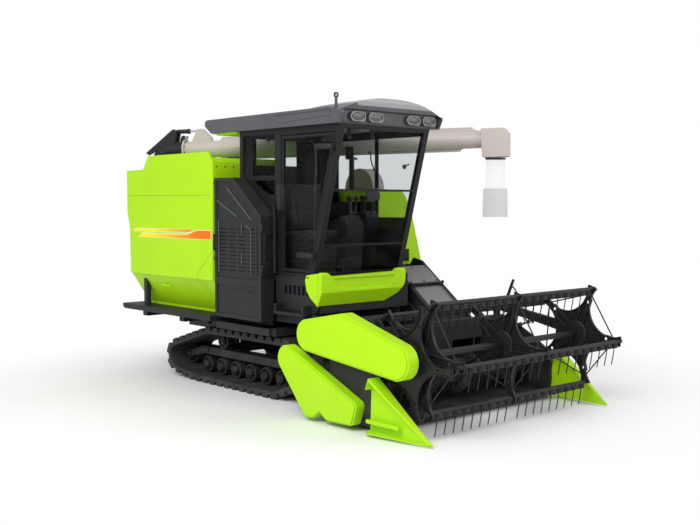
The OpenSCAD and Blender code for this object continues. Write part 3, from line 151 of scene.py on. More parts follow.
def make_field_dust():
    """Dry dust that settles low down and on what faces up."""
    tree, given, out = group("field_dust", [("Level", 0.7), ("Amount", 0.3)], [("Mask", "NodeSocketFloat")])
    low = opposite(tree, ramp(tree, axes(tree)[2], 0.0, given.outputs["Level"]))
    facing = add(tree, "SeparateXYZ")
    tree.links.new(add(tree, "NewGeometry").outputs["Normal"], facing.inputs[0])
    up = times(tree, ramp(tree, facing.outputs["Z"], 0.3, 1.0), 0.35)
    gathered = math_node(tree, "ADD", low, up)
    patchy = ramp(tree, noise(tree, 5.0, 6.0, 0.65), 0.35, 0.75)
    mask = times(tree, gathered, patchy, given.outputs["Amount"])
    tree.links.new(math_node(tree, "MINIMUM", mask, 1.0), out.inputs["Mask"])
    return tree


def make_skin_grain():
    """Fine relief of a coat or moulding, and a slow drift of its tone."""
    tree, given, out = group("skin_grain", [("Scale", 220.0)],
                             [("Height", "NodeSocketFloat"), ("Tone", "NodeSocketFloat")])
    tree.links.new(noise(tree, given.outputs["Scale"], 2.0), out.inputs["Height"])
    tree.links.new(ramp(tree, noise(tree, 1.7, 4.0), 0.3, 0.7), out.inputs["Tone"])
    return tree


rounded_edges = make_rounded_edges()
field_dust = make_field_dust()
skin_grain = make_skin_grain()
DUST = (0.42, 0.37, 0.29)
GLASS_TINT = (0.78, 0.80, 0.80)
GLASS_ROUGHNESS = 0.01
RIB_GREY = (0.075, 0.077, 0.082)


# Materials

def use(tree, made, **values):
    """One of the shader groups placed in a material, with its own values."""
    node = add(tree, "Group")
    node.node_tree = made
    wire(tree, node, values)
    return node


def mix(tree, factor, first, second):
    """A colour between two others, each a colour or a socket."""
    node = add(tree, "Mix")
    node.data_type = "RGBA"
    tree.links.new(factor, node.inputs["Factor"])
    for label, value in (("A", first), ("B", second)):
        socket = next(s for s in node.inputs if s.name == label and s.type == "RGBA")
        feed(tree, socket, (*value, 1.0) if isinstance(value, tuple) else value)
    return next(s for s in node.outputs if s.type == "RGBA")


def blank(name):
    """A new material with its node tree and its shader."""
    material = bpy.data.materials.new(name)
    material.use_nodes = True
    return material, material.node_tree, material.node_tree.nodes["Principled BSDF"]


def span(tree, value, low, high):
    """The value brought from 0...1 to low...high."""
    node = add(tree, "MapRange")
    wire(tree, node, {"Value": value, "To Min": low, "To Max": high})
    return node.outputs[0]


def emboss(tree, shader, height, strength, depth=0.002, normal=None):
    """Relief on a shader, over a normal that is already softened where one is given."""
    bump = add(tree, "Bump")
    wire(tree, bump, {"Strength": strength, "Distance": depth, "Height": height})
    if normal:
        tree.links.new(normal, bump.inputs["Normal"])
    tree.links.new(bump.outputs["Normal"], shader.inputs["Normal"])


def coated(name, colour, deep, roughness, metallic=0.0, coat=0.0, grain=220.0, relief=0.05, edge=0.004,
           worn=None, wear=0.5, level=0.7, dust=0.3, gloss=0.5):
    """Paint, powder coat, moulded plastic or bare steel: grain, tone drift, worn edges and dust."""
    material, tree, shader = blank(name)
    soft = use(tree, rounded_edges, Radius=edge)
    skin = use(tree, skin_grain, Scale=grain)
    settled = use(tree, field_dust, Level=level, Amount=dust)
    base = mix(tree, skin.outputs["Tone"], colour, deep)
    if worn:
        scuffed = ramp(tree, noise(tree, 38.0, 5.0, 0.7), 0.5, 0.7)
        rubbed = times(tree, soft.outputs["Edge"], scuffed, wear)
        base = mix(tree, rubbed, base, worn)
    base = mix(tree, settled.outputs["Mask"], base, DUST)
    spread = span(tree, noise(tree, 9.0, 5.0), roughness - 0.06, roughness + 0.08)
    dulled = math_node(tree, "ADD", spread, times(tree, settled.outputs["Mask"], 0.4))
    emboss(tree, shader, skin.outputs["Height"], relief, normal=soft.outputs["Normal"])
    wire(tree, shader, {"Base Color": base, "Roughness": math_node(tree, "MINIMUM", dulled, 1.0),
                        "Metallic": metallic, "Specular IOR Level": gloss, "Coat Weight": coat,
                        "Coat Roughness": 0.12})
    return material


def clear(name, tint, roughness, smear=0.03):
    """Tinted glass or lens with faint smears."""
    material, tree, shader = blank(name)
    smears = span(tree, noise(tree, 6.0, 6.0), roughness, roughness + smear)
    wire(tree, shader, {"Base Color": (*tint, 1.0), "Roughness": smears, "Transmission Weight": 1.0, "IOR": 1.1})
    return material


lime_paint = coated("lime_paint", (0.452, 0.805, 0.006), (0.428, 0.772, 0.006), 0.36, coat=0.05, relief=0.02,
                    worn=(0.55, 0.8, 0.12), wear=0.35, level=0.5, dust=0.10, gloss=0.16)
charcoal_paint = coated("charcoal_paint", (0.021, 0.022, 0.0245), (0.017, 0.018, 0.020), 0.5, relief=0.06,
                        worn=(0.075, 0.075, 0.08), wear=0.6, dust=0.10, gloss=0.26)
cab_paint = coated("cab_paint", (0.012, 0.0125, 0.014), (0.0095, 0.010, 0.0115), 0.46,
                   worn=(0.06, 0.06, 0.063), dust=0.04, gloss=0.24)
tube_paint = coated("tube_paint", (0.56, 0.51, 0.47), (0.52, 0.47, 0.43), 0.42, coat=0.1, relief=0.03,
                    worn=(0.42, 0.40, 0.38), level=0.2, dust=0.08, gloss=0.35)
cover_paint = coated("cover_paint", (0.21, 0.21, 0.21), (0.18, 0.18, 0.18), 0.5, relief=0.04,
                     worn=(0.35, 0.35, 0.35), level=0.4, dust=0.15, gloss=0.4)
track_rubber = coated("track_rubber", (0.026, 0.026, 0.027), (0.032, 0.032, 0.032), 0.72, grain=140.0, relief=0.3,
                      edge=0.006, worn=(0.05, 0.049, 0.047), wear=0.9, level=0.5, dust=0.10, gloss=0.35)
black_steel = coated("black_steel", (0.014, 0.014, 0.015), (0.018, 0.018, 0.019), 0.42, metallic=0.2,
                     worn=(0.09, 0.09, 0.093), wear=0.7, level=0.4, dust=0.06, gloss=0.4)
bare_steel = coated("bare_steel", (0.42, 0.42, 0.43), (0.34, 0.34, 0.35), 0.32, metallic=0.9,
                    worn=(0.6, 0.6, 0.6), level=0.4, dust=0.15)
knife_steel = coated("knife_steel", (0.075, 0.075, 0.078), (0.055, 0.055, 0.058), 0.38, metallic=0.7, relief=0.08,
                     worn=(0.34, 0.34, 0.34), wear=0.9, level=0.3, dust=0.12)
chrome_steel = coated("chrome_steel", (0.72, 0.72, 0.73), (0.68, 0.68, 0.69), 0.14, metallic=1.0, relief=0.01,
                      edge=0.002, dust=0.05)
cast_iron = coated("cast_iron", (0.013, 0.013, 0.0145), (0.010, 0.010, 0.0115), 0.55, metallic=0.2, grain=160.0,
                   relief=0.3, worn=(0.10, 0.097, 0.092), level=0.6, dust=0.12, gloss=0.4)
lamp_reflector = coated("lamp_reflector", (0.20, 0.21, 0.21), (0.14, 0.15, 0.15), 0.2, metallic=0.6, grain=90.0,
                        relief=0.3, dust=0.05)
cab_tint = clear("cab_tint", GLASS_TINT, GLASS_ROUGHNESS)


def window(tree, value, low, high):
    """1 where the value lies between two limits, else 0."""
    above = math_node(tree, "GREATER_THAN", value, low)
    return times(tree, above, math_node(tree, "LESS_THAN", value, high))


def grid(tree, first, second, rate):
    """A grid of bumps: the product of two sine waves."""
    return times(tree, *[math_node(tree, "SINE", times(tree, way, rate)) for way in (first, second)])


def tint(material, mask, colour):
    """Paints another colour over a finished material where the mask is 1."""
    tree = material.node_tree
    shader = tree.nodes["Principled BSDF"]
    under = shader.inputs["Base Color"].links[0].from_socket
    tree.links.new(mix(tree, mask, under, colour), shader.inputs["Base Color"])


def make_cab_film():
    """Window glass with a dark printed border along the sills, the rear corner and the middle post."""
    material = clear("cab_film", GLASS_TINT, GLASS_ROUGHNESS)
    tree = material.node_tree
    x, y, z = axes(tree)
    sill = span(tree, math_node(tree, "GREATER_THAN", x, 0.26), 1.766, 1.620)
    over_sill = math_node(tree, "GREATER_THAN", z, sill)
    post = window(tree, x, 0.236, 0.284)
    open_left = times(tree, over_sill, window(tree, x, -0.275, 0.95), opposite(tree, post))
    open_rear = times(tree, window(tree, y, -0.79, -0.31), math_node(tree, "GREATER_THAN", z, 2.10))
    left = times(tree, window(tree, y, 0.06, 0.08), opposite(tree, open_left))
    rear = times(tree, window(tree, x, -0.46, -0.44), opposite(tree, open_rear))
    colour = mix(tree, math_node(tree, "MAXIMUM", left, rear), GLASS_TINT, (0.008, 0.008, 0.009))
    tree.links.new(colour, tree.nodes["Principled BSDF"].inputs["Base Color"])
    return material


def make_screen_mesh():
    """Dark paint with rows of small holes on the sunk panels of the side door and pale pressed ribs."""
    material = coated("screen_mesh", (0.022, 0.023, 0.026), (0.018, 0.019, 0.021), 0.5, relief=0.06,
                      worn=(0.075, 0.075, 0.08), wear=0.6, dust=0.10, gloss=0.26)
    tree = material.node_tree
    x, y, z = axes(tree)
    sunk = window(tree, y, -1.1125, -1.1060)
    holes = ramp(tree, grid(tree, x, z, 420.0), 0.1, 0.55)
    tint(material, times(tree, sunk, holes), (0.010, 0.010, 0.011))
    upper = times(tree, window(tree, z, 1.05, 2.0), math_node(tree, "LESS_THAN", x, -0.06))
    tint(material, times(tree, window(tree, y, -1.1165, -1.1140), upper), RIB_GREY)
    return material


def make_roof_shell():
    """Moulded grey roof: a painted highlight that lightens the upward-facing top over the windscreen, and a dark sunk
    band that carries the lamps.
    """
    material = coated("roof_shell", (0.080, 0.085, 0.094), (0.070, 0.074, 0.083), 0.30, grain=420.0,
                      worn=(0.13, 0.13, 0.14), level=0.2, dust=0.05)
    tree = material.node_tree
    x, y, z = axes(tree)
    # Painted highlight: the top over the windscreen faces up into the light, so it is tinted pale grey.
    brow_top_highlight = times(tree, window(tree, z, 2.552, 2.7), ramp(tree, y, -0.812, -0.800))
    tint(material, times(tree, brow_top_highlight, ramp(tree, x, 0.50, 0.62)), (0.34, 0.345, 0.35))
    band = times(tree, window(tree, z, 2.402, 2.520), window(tree, y, -0.955, 0.195))
    tint(material, times(tree, band, window(tree, x, 0.9, 0.9665)), (0.026, 0.028, 0.031))
    return material


def make_stripe_print():
    """Printed film that runs from yellow at the rear to orange at the front."""
    material = coated("stripe_print", (1.0, 0.86, 0.01), (1.0, 0.82, 0.01), 0.36, relief=0.01, edge=0.001,
                      level=0.2, dust=0.03, gloss=0.16)
    tint(material, ramp(material.node_tree, axes(material.node_tree)[0], -1.95, -0.85), (1.0, 0.17, 0.004))
    return material


def make_lens(name, colour, pitch):
    """A moulded lamp lens with a grid of prisms."""
    material, tree, shader = blank(name)
    x, y, z = axes(tree)
    prisms = grid(tree, y, z, math.tau / pitch)
    emboss(tree, shader, prisms, 0.5)
    deep = tuple(c * 0.55 for c in colour)
    wire(tree, shader, {"Base Color": mix(tree, ramp(tree, prisms, -0.6, 0.6), deep, colour),
                        "Roughness": span(tree, noise(tree, 30.0), 0.08, 0.18), "Coat Weight": 0.6})
    return material


def make_sleeve_film():
    """Clear film, duller below where two layers hang together."""
    material, tree, shader = blank("sleeve_film")
    x, y, z = axes(tree)
    upper = ramp(tree, z, 1.889, 1.892)
    clouds = noise(tree, 7.0, 4.0)
    veil = span(tree, upper, 0.34, 0.13)
    wire(tree, shader, {"Base Color": mix(tree, upper, (0.52, 0.52, 0.52), (0.90, 0.90, 0.90)),
                        "Alpha": math_node(tree, "ADD", veil, times(tree, clouds, 0.08)),
                        "Roughness": span(tree, clouds, 0.12, 0.25)})
    return material


def make_seat_cloth():
    """Dark woven seat cover with a slight nap."""
    material, tree, shader = blank("seat_cloth")
    x, y, z = axes(tree)
    weave = grid(tree, y, math_node(tree, "ADD", x, z), 1900.0)
    patch = ramp(tree, noise(tree, 14.0, 5.0), 0.3, 0.7)
    plain = mix(tree, ramp(tree, weave, -0.8, 0.8), (0.009, 0.009, 0.010), (0.022, 0.022, 0.024))
    emboss(tree, shader, weave, 0.25, 0.001)
    wire(tree, shader, {"Base Color": mix(tree, times(tree, patch, 0.3), plain, (0.034, 0.033, 0.032)),
                        "Roughness": span(tree, patch, 0.72, 0.86), "Sheen Weight": 0.08})
    return material


cab_film = make_cab_film()
screen_mesh = make_screen_mesh()
roof_shell = make_roof_shell()
stripe_print = make_stripe_print()
stripe_white = coated("stripe_white", (0.86, 0.86, 0.82), (0.82, 0.82, 0.78), 0.3, coat=0.3, relief=0.01, edge=0.001,
                      level=0.2, dust=0.05)
# Lime paint darkened as painted shade, for the thin strips that stand for grooves and gaps in the lime panels.
lime_gap_shade = coated("lime_gap_shade", (0.17, 0.33, 0.008), (0.14, 0.28, 0.006), 0.6, edge=0.001, dust=0.2)
bead_paint = coated("bead_paint", RIB_GREY, (0.065, 0.067, 0.072), 0.5, dust=0.05, gloss=0.3)
black_plastic = coated("black_plastic", (0.020, 0.020, 0.022), (0.026, 0.026, 0.028), 0.46, grain=380.0, relief=0.15,
                       edge=0.003, worn=(0.07, 0.07, 0.072), level=0.4, dust=0.10, gloss=0.3)
lamp_lens = make_lens("lamp_lens", (0.055, 0.058, 0.062), 0.018)
amber_lens = make_lens("amber_lens", (0.80, 0.20, 0.01), 0.014)
red_lens = make_lens("red_lens", (0.55, 0.012, 0.010), 0.014)
sleeve_film = make_sleeve_film()
seat_cloth = make_seat_cloth()


# CAD nodes

BAR_NODES = ["reel_bar_%d" % number for number in range(1, 6)]
FINISHES = {
    lime_paint: ("tank_side", "tank_shell", "thresher_hood", "straw_hood", "front_bumper", "dividers",
                 "header_drive_cover", "reel_drive_cover"),
    charcoal_paint: ("chassis_frame", "track_frames", "rear_deck", "cab_base", "entry_step", "thresher_body",
                     "feeder_house", "unloader_rest", "unloader_elbow", "reel_arms", "header_pan", "header_auger"),
    screen_mesh: ("screen_door",),
    cab_paint: ("cab_right_frame", "cab_left_wall", "cab_rear_wall", "cab_front_frame", "cab_door", "control_console",
                "grab_handle"),
    roof_shell: ("cab_roof",),
    tube_paint: ("unloader_tube", "drum_cover"),
    cover_paint: ("feeder_covers",),
    track_rubber: ("track_left", "track_right"),
    black_steel: ("reel_rotor", "reel_control", *BAR_NODES, "header_barrel", "reel_barrels", "unloader_barrel"),
    bare_steel: ("exhaust_pipe",),
    knife_steel: ("knife_bar",),
    chrome_steel: ("header_rod", "reel_rods", "unloader_rod"),
    cast_iron: ("track_wheels", "drive_gearbox", "engine"),
    lamp_reflector: ("lamps",),
    cab_film: ("cab_glass",),
    cab_tint: ("cab_door_glass",),
    seat_cloth: ("seat",),
    sleeve_film: ("unloader_sleeve",),
}
for finish, names in FINISHES.items():
    for node in names:
        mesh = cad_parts[node].data
        mesh.materials.clear()
        mesh.materials.append(finish)


# Shapes that the pieces are made of, all in the source's millimetres

def stood(spot, way):
    """The move that stands a shape on a point of the frame, its Z along a way."""
    return Matrix.Translation(spot) @ Vector(way).to_track_quat("Z", "Y").to_matrix().to_4x4()


def rod(bm, start, end, radius, sides=12):
    """A round bar from one place to another."""
    a, b = place(*start), place(*end)
    bmesh.ops.create_cone(bm, cap_ends=True, segments=sides, radius1=radius / 1000, radius2=radius / 1000,
                          depth=(b - a).length, matrix=stood((a + b) / 2, b - a))


def bolt(bm, spot, way, radius=9.0, height=6.0):
    """A six-sided bolt head that stands on a face."""
    way = Vector(way).normalized()
    centre = place(*spot) + way * height / 2000
    bmesh.ops.create_cone(bm, cap_ends=True, segments=6, radius1=radius / 1000, radius2=radius * 0.84 / 1000,
                          depth=height / 1000, matrix=stood(centre, way))


def ball(bm, spot, radius, squeeze=(1.0, 1.0, 1.0)):
    """A ball, or an egg where it is squeezed."""
    shape = Matrix.Translation(place(*spot)) @ Matrix.Diagonal((*squeeze, 1.0))
    bmesh.ops.create_uvsphere(bm, u_segments=20, v_segments=12, radius=radius / 1000, matrix=shape)


def capsule(bm, start, end, radius):
    """A bar with round ends: a ball, one half of it carried to the far end."""
    a, b = place(*start), place(*end)
    made = bmesh.ops.create_uvsphere(bm, u_segments=16, v_segments=10, radius=radius / 1000, matrix=stood(a, b - a))
    far = [v for v in made["verts"] if (v.co - a).dot(b - a) > 1e-6]
    bmesh.ops.translate(bm, verts=far, vec=b - a)


def outlined(bm, outline):
    """A flat face with this outline."""
    return bm.faces.new([bm.verts.new(place(*p)) for p in outline])


def pull(bm, face, depth):
    """Carries a face along a depth, and gives back the corners that moved."""
    grown = bmesh.ops.extrude_face_region(bm, geom=[face])["geom"]
    moved = [v for v in grown if isinstance(v, bmesh.types.BMVert)]
    bmesh.ops.translate(bm, verts=moved, vec=Vector(depth) / 1000)
    return moved


def slab(bm, outline, depth, ease=0.0):
    """A flat plate: its outline carried along a depth, with its edges eased."""
    face = outlined(bm, outline)
    moved = pull(bm, face, depth)
    if ease:
        verts = set(face.verts) | set(moved)
        edges = [e for e in bm.edges if e.verts[0] in verts and e.verts[1] in verts]
        bmesh.ops.bevel(bm, geom=edges, offset=ease / 1000, affect="EDGES", segments=2, profile=0.5, material=-1)


def panel(bm, corner, along, across, depth, ease=0.0):
    """A four-sided plate: a corner and the two sides that leave it."""
    corner, along, across = Vector(corner), Vector(along), Vector(across)
    slab(bm, [corner, corner + along, corner + along + across, corner + across], depth, ease)


def block(bm, low, high, ease=3.0):
    """A plain block with eased edges."""
    wide, deep, tall = Vector(high) - Vector(low)
    panel(bm, low, (wide, 0, 0), (0, deep, 0), (0, 0, tall), ease)


def seam(bm, points, width, depth):
    """A thin line along a face: a narrow strip for each stretch between two points."""
    lift = Vector(depth).normalized()
    for p, q in zip(points, points[1:]):
        across = (Vector(q) - Vector(p)).cross(lift).normalized() * width / 2
        slab(bm, [Vector(p) - across, Vector(q) - across, Vector(q) + across, Vector(p) + across], depth)


def tube(bm, points, radius, rounds=2):
    """A pipe or hose laid smoothly through points."""
    curve = bpy.data.curves.new("run", "CURVE")
    curve.dimensions = "3D"
    curve.bevel_depth = radius / 1000
    curve.bevel_resolution = rounds
    curve.resolution_u = 6
    curve.use_fill_caps = True
    spline = curve.splines.new("BEZIER")
    spline.bezier_points.add(len(points) - 1)
    for knot, point in zip(spline.bezier_points, points):
        knot.co = place(*point)
        knot.handle_left_type = knot.handle_right_type = "AUTO"
    holder = bpy.data.objects.new("run", curve)
    mesh = bpy.data.meshes.new_from_object(holder)
    bm.from_mesh(mesh)
    bpy.data.objects.remove(holder)
    bpy.data.curves.remove(curve)
    bpy.data.meshes.remove(mesh)


def mesh_from(bm, name):
    """The mesh that a bmesh holds."""
    mesh = bpy.data.meshes.new(name)
    bm.to_mesh(mesh)
    bm.free()
    return mesh


def spun(profile, sides, cuts=0):
    """A half profile, given as (radius, height), spun about Z."""
    lathe = bmesh.new()
    verts = [lathe.verts.new((r / 1000, 0.0, h / 1000)) for r, h in profile]
    edges = [lathe.edges.new(pair) for pair in zip(verts, verts[1:])]
    if cuts:
        bmesh.ops.subdivide_edges(lathe, edges=edges, cuts=cuts)
    bmesh.ops.spin(lathe, geom=lathe.verts[:] + lathe.edges[:], cent=(0, 0, 0), axis=(0, 0, 1), angle=math.tau,
                   steps=sides, use_merge=True)
    bmesh.ops.remove_doubles(lathe, verts=lathe.verts, dist=1e-6)
    return lathe


def turned(bm, profile, spot, way, sides=24):
    """A turned part: a half profile spun about a way through a place."""
    lathe = spun(profile, sides)
    bmesh.ops.transform(lathe, matrix=stood(place(*spot), way), verts=lathe.verts)
    mesh = mesh_from(lathe, "lathe")
    bm.from_mesh(mesh)
    bpy.data.meshes.remove(mesh)


def around(count, radius, shift=0.0):
    """Pairs of offsets evenly spaced on a circle."""
    turns = [math.tau * (i + shift) / count for i in range(count)]
    return [(radius * math.cos(a), radius * math.sin(a)) for a in turns]


def piece(name, bm, finish, body="chassis", crease=35.0):
    """A finished piece: faces outwards, shaded smooth up to a crease, riding on its body."""
    bmesh.ops.recalc_face_normals(bm, faces=bm.faces)
    mesh = mesh_from(bm, name)
    mesh.polygons.foreach_set("use_smooth", [True] * len(mesh.polygons))
    mesh.set_sharp_from_angle(angle=math.radians(crease))
    mesh.materials.append(finish)
    made = bpy.data.objects.new(name, mesh)
    bpy.context.collection.objects.link(made)
    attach(made, body)
    return made


# Places that several pieces share, in the source's millimetres

FLANK_Y = -1000.0
CAB_RIGHT = -845.0
FLOOR = 1117.0
LAMP_Z = 2462.0
FEEDER_Y = 545.0
REEL = Vector((1805.0, 0.0, 625.0))
STARS = (-960.0, 0.0, 1000.0)
BAR_REACH = 425
HOPPER_OUT = Vector((0, -304, -203)).normalized()
BOOM = Vector((-1870.0, -614.0, 2291.0))
BOOM_TURN = Matrix.Rotation(math.radians(36.8), 3, "Z") @ Matrix.Rotation(math.radians(-1.4), 3, "Y")
RIGHT, LEFT, AHEAD, UP = (0, -1, 0), (0, 1, 0), (1, 0, 0), (0, 0, 1)


def boom(along, y, z):
    """A place given along the discharge tube."""
    return BOOM + BOOM_TURN @ Vector((along, y, z))


def post_x(z):
    """Front face of the windscreen at a height."""
    return 445.0 + (z - FLOOR) * math.tan(math.radians(15.2))


def feeder(along, off, y):
    """A place given along the feeder house and off its middle line."""
    slope = math.radians(38.0)
    return Vector((85 + along * math.cos(slope) + off * math.sin(slope), y,
                   1090 - along * math.sin(slope) + off * math.cos(slope)))


def star_arm(index):
    """The way out along an arm of the reel's stars at rest."""
    turn = math.radians(-4.0 + 72 * index)
    return Vector((math.cos(turn), 0, math.sin(turn)))


# Tank and flank

UPPER_BAND = ((-2262, 1459), (-2211, 1495), (-1133, 1499), (-1216, 1468))
LOWER_BAND = ((-2158, 1402), (-2078, 1452), (-1253, 1452), (-1087, 1496), (-843, 1499), (-844, 1408))


def make_flank_stripe():
    """Two slanted bands on the flank, yellow to orange, on a pale edge."""
    edge, print_ = bmesh.new(), bmesh.new()
    for band in (UPPER_BAND, LOWER_BAND):
        slab(edge, [(x, FLANK_Y - 0.2, z) for x, z in band], (0, -0.6, 0))
        face = outlined(print_, [(x, FLANK_Y - 0.8, z) for x, z in band])
        face.normal_update()
        ring = bmesh.ops.inset_region(print_, faces=[face], thickness=0.006, use_boundary=True)["faces"]
        bmesh.ops.delete(print_, geom=ring, context="FACES")
        pull(print_, face, (0, -0.6, 0))
    loose = [v for v in print_.verts if not v.link_faces]
    bmesh.ops.delete(print_, geom=loose, context="VERTS")
    piece("flank_stripe_edge", edge, stripe_white)
    piece("flank_stripe", print_, stripe_print)


def make_flank_seams():
    """The fold across the flank, the corner hatch's gap and the gap lines of the hood, drawn as dark lime strips:
    painted shade in the grooves.
    """
    bm = bmesh.new()
    y = FLANK_Y - 0.1
    seam(bm, [(-2380, y, 1824), (-854, y, 1824)], 3.0, (0, -0.5, 0))
    seam(bm, [(-846, y, 1294), (-1079, y, 1074), (-1080, y, 1034)], 4.0, (0, -0.5, 0))
    piece("flank_seams", bm, lime_gap_shade)
    bm = bmesh.new()
    seam(bm, [(-1075, -984.5, 1027.2), (-893, -784, 727)], 4.0, HOPPER_OUT * 0.6)
    piece("hopper_seam", bm, lime_gap_shade)
    bm = bmesh.new()
    for x in (-1500, -760):
        seam(bm, [(x, 918.4, 1225), (x, 886, 1338)], 4.0, (0, 0.8, 0.2))
        seam(bm, [(x, 885.5, 1342), (x, 800, 1632)], 4.0, (0, 0.8, 0.24))
    piece("hood_seams", bm, lime_gap_shade)


def make_tank_fasteners():
    """Bolts along the tank's top edge, a handle on the slope below the flank and the fuel cap."""
    bm = bmesh.new()
    for i in range(7):
        bolt(bm, (-806, -960 + 95 * i, 2088), AHEAD, 8)
    for i in range(9):
        bolt(bm, (-1860 + 118 * i, -700, 2172), UP, 9)
    piece("tank_bolts", bm, black_steel)
    bm = bmesh.new()
    rest = Vector((-1708, -930, 945.6))
    grip = rest + HOPPER_OUT * 30
    for way in (-55, 55):
        rod(bm, rest + Vector((way, 0, 0)), grip + Vector((way, 0, 0)), 7)
    capsule(bm, grip - Vector((62, 0, 0)), grip + Vector((62, 0, 0)), 8)
    piece("hopper_handle", bm, lime_paint)
    bm = bmesh.new()
    cap = Vector((-1300, -420, 2172))
    turned(bm, [(0, 34), (62, 34), (70, 26), (70, 10), (58, 0), (0, 0)], cap, UP, 32)
    for x, y in around(12, 70):
        rod(bm, cap + Vector((x, y, 10)), cap + Vector((x, y, 26)), 5, 8)
    piece("fuel_cap", bm, black_plastic)


# Threshing body, rear and left side

def make_left_latches():
    """Hood latches and panel knobs on the left side."""
    bm = bmesh.new()
    for x in (-2100, -1680, -1260, -840, -420):
        block(bm, (x - 16, 928, 1118), (x + 16, 944, 1146), 3)
        capsule(bm, (x, 944, 1140), (x, 938, 1182), 7)
    for x in (-1980, -1560, -1140, -720, -300):
        turned(bm, [(0, 16), (15, 16), (18, 12), (18, 0), (0, 0)], (x, 916, 900), LEFT, 16)
    piece("left_latches", bm, black_plastic)


def make_tail_lamps():
    """A red lamp in a housing on each side of the rear."""
    shells, lenses = bmesh.new(), bmesh.new()
    for x, y, z, proud in ((-2382, -900, 1760, 26), (-2482, 820, 1180, 14)):
        block(shells, (x - proud, y - 38, z - 70), (x, y + 38, z + 70), 5)
        for h in (-34, 34):
            ball(lenses, (x - proud + 2, y, z + h), 29, (0.18, 1.0, 1.0))
    piece("tail_lamp_shells", shells, black_plastic)
    piece("tail_lamp_lenses", lenses, red_lens)


def make_hood_lamp():
    """The amber lamp in the front of the hood and the dark band below it."""
    bm = bmesh.new()
    ball(bm, (26, 560, 1420), 36, (0.5, 1.0, 1.0))
    piece("hood_lamp_lens", bm, amber_lens)
    bm = bmesh.new()
    panel(bm, (-13.5, 322, 1182), (0, 436, 0), (0, 0, 116), (5, 0, 0), 1.5)
    for i in range(9):
        panel(bm, (-8.5, 336, 1190 + 11.6 * i), (0, 408, 0), (0, 0, 4), (6, 0, 1.5))
    piece("hood_grille", bm, black_plastic)


def make_exhaust_bands():
    """Two clamp bands around the exhaust pipe."""
    bm = bmesh.new()
    for z in (1990, 2230):
        turned(bm, [(40, 0), (45, 0), (45, 22), (40, 22)], (-700, -43, z), UP, 28)
        block(bm, (-712, -99, z + 3), (-688, -85, z + 19), 2)
    piece("exhaust_bands", bm, bare_steel)


# Cab

def make_roof_louvre():
    """The slatted lime panel under the roof's rear overhang."""
    bm = bmesh.new()
    panel(bm, (-960, -878, 2399.6), (350, 0, 0), (0, 1078, 0), (0, 0, -8), 2)
    for i in range(9):
        panel(bm, (-930 + 36 * i, -866, 2391), (20, 0, 0), (0, 1046, 0), (-6, 0, -9), 1)
    piece("roof_louvre", bm, lime_paint)


def make_roof_creases():
    """The two creases that frame a raised field on the roof's right side, drawn as dark strips: painted shade in the
    creases.
    """
    bm = bmesh.new()
    y = -888.4
    seam(bm, [(82, y, 2478), (4, y, 2506), (480, y, 2508), (700, y, 2513), (738, y, 2486)], 3.0, (0, -1.4, 0))
    seam(bm, [(42, y, 2440), (585, y, 2458), (742, y, 2462)], 3.0, (0, -1.4, 0))
    # Black plastic here is painted shade: the creases are part of the roof's own grey moulding.
    piece("roof_creases", bm, black_plastic)


def make_lamp_lenses():
    """The dark prismatic lenses of the four work lamps."""
    bm = bmesh.new()
    for y in (-661, -457, -10, 182):
        ball(bm, (809, y, LAMP_Z), 33, (0.24, 2.25, 1.0))
    piece("work_lamp_lenses", bm, lamp_lens)


def make_screen_fittings():
    """The short wiper, the catch of the windscreen and the clips that hang from the roof's edge."""
    bm = bmesh.new()
    top, middle, low = 2175.0, 2097.0, 2037.0
    pivot = Vector((post_x(top) + 8, -463, top))
    turned(bm, [(0, 12), (10, 12), (15, 7), (15, -8), (0, -8)], pivot, AHEAD, 20)
    tube(bm, [pivot + Vector((6, 0, 0)), (post_x(middle) + 12, -431, middle), (post_x(low) + 10, -379, low)], 6)
    ball(bm, (post_x(low) + 10, -379, low), 14)
    ball(bm, (post_x(2068) + 4, -20, 2068), 22, (0.6, 1.0, 1.0))
    rod(bm, (post_x(2068) + 4, -20, 2068), (post_x(2091) - 4, 39, 2091), 6)
    for x, y in ((600, -569), (600, -303), (-554, -803), (-213, -803)):
        capsule(bm, (x, y, 2396), (x - 6, y, 2335), 17)
        ball(bm, (x - 8, y, 2318), 24, (0.8, 1.0, 1.0))
    piece("screen_fittings", bm, black_plastic)


def make_door_fittings():
    """Round hinge covers, the latch and the inner rail of the cab door."""
    bm = bmesh.new()
    for z in (1304, 2214):
        x = post_x(z) - 40
        capsule(bm, (x - 150, CAB_RIGHT - 34, z + 6), (x, CAB_RIGHT - 34, z), 27)
        for dx in (-110, -50):
            turned(bm, [(0, 4), (8, 4), (9, 0), (0, 0)], (x + dx, CAB_RIGHT - 60.5, z + 4), RIGHT, 12)
    block(bm, (20, CAB_RIGHT - 56, 1690), (66, CAB_RIGHT - 2, 1910), 8)
    turned(bm, [(0, 10), (11, 10), (13, 6), (13, 0), (0, 0)], (43, CAB_RIGHT - 56, 1740), RIGHT, 20)
    tube(bm, [(425, CAB_RIGHT + 6, 2270), (432, CAB_RIGHT + 34, 2240), (432, CAB_RIGHT + 36, 1800),
              (432, CAB_RIGHT + 36, 1470), (470, CAB_RIGHT + 30, 1372), (478, CAB_RIGHT + 4, 1352)], 9)
    piece("door_fittings", bm, black_plastic, "cab_door")


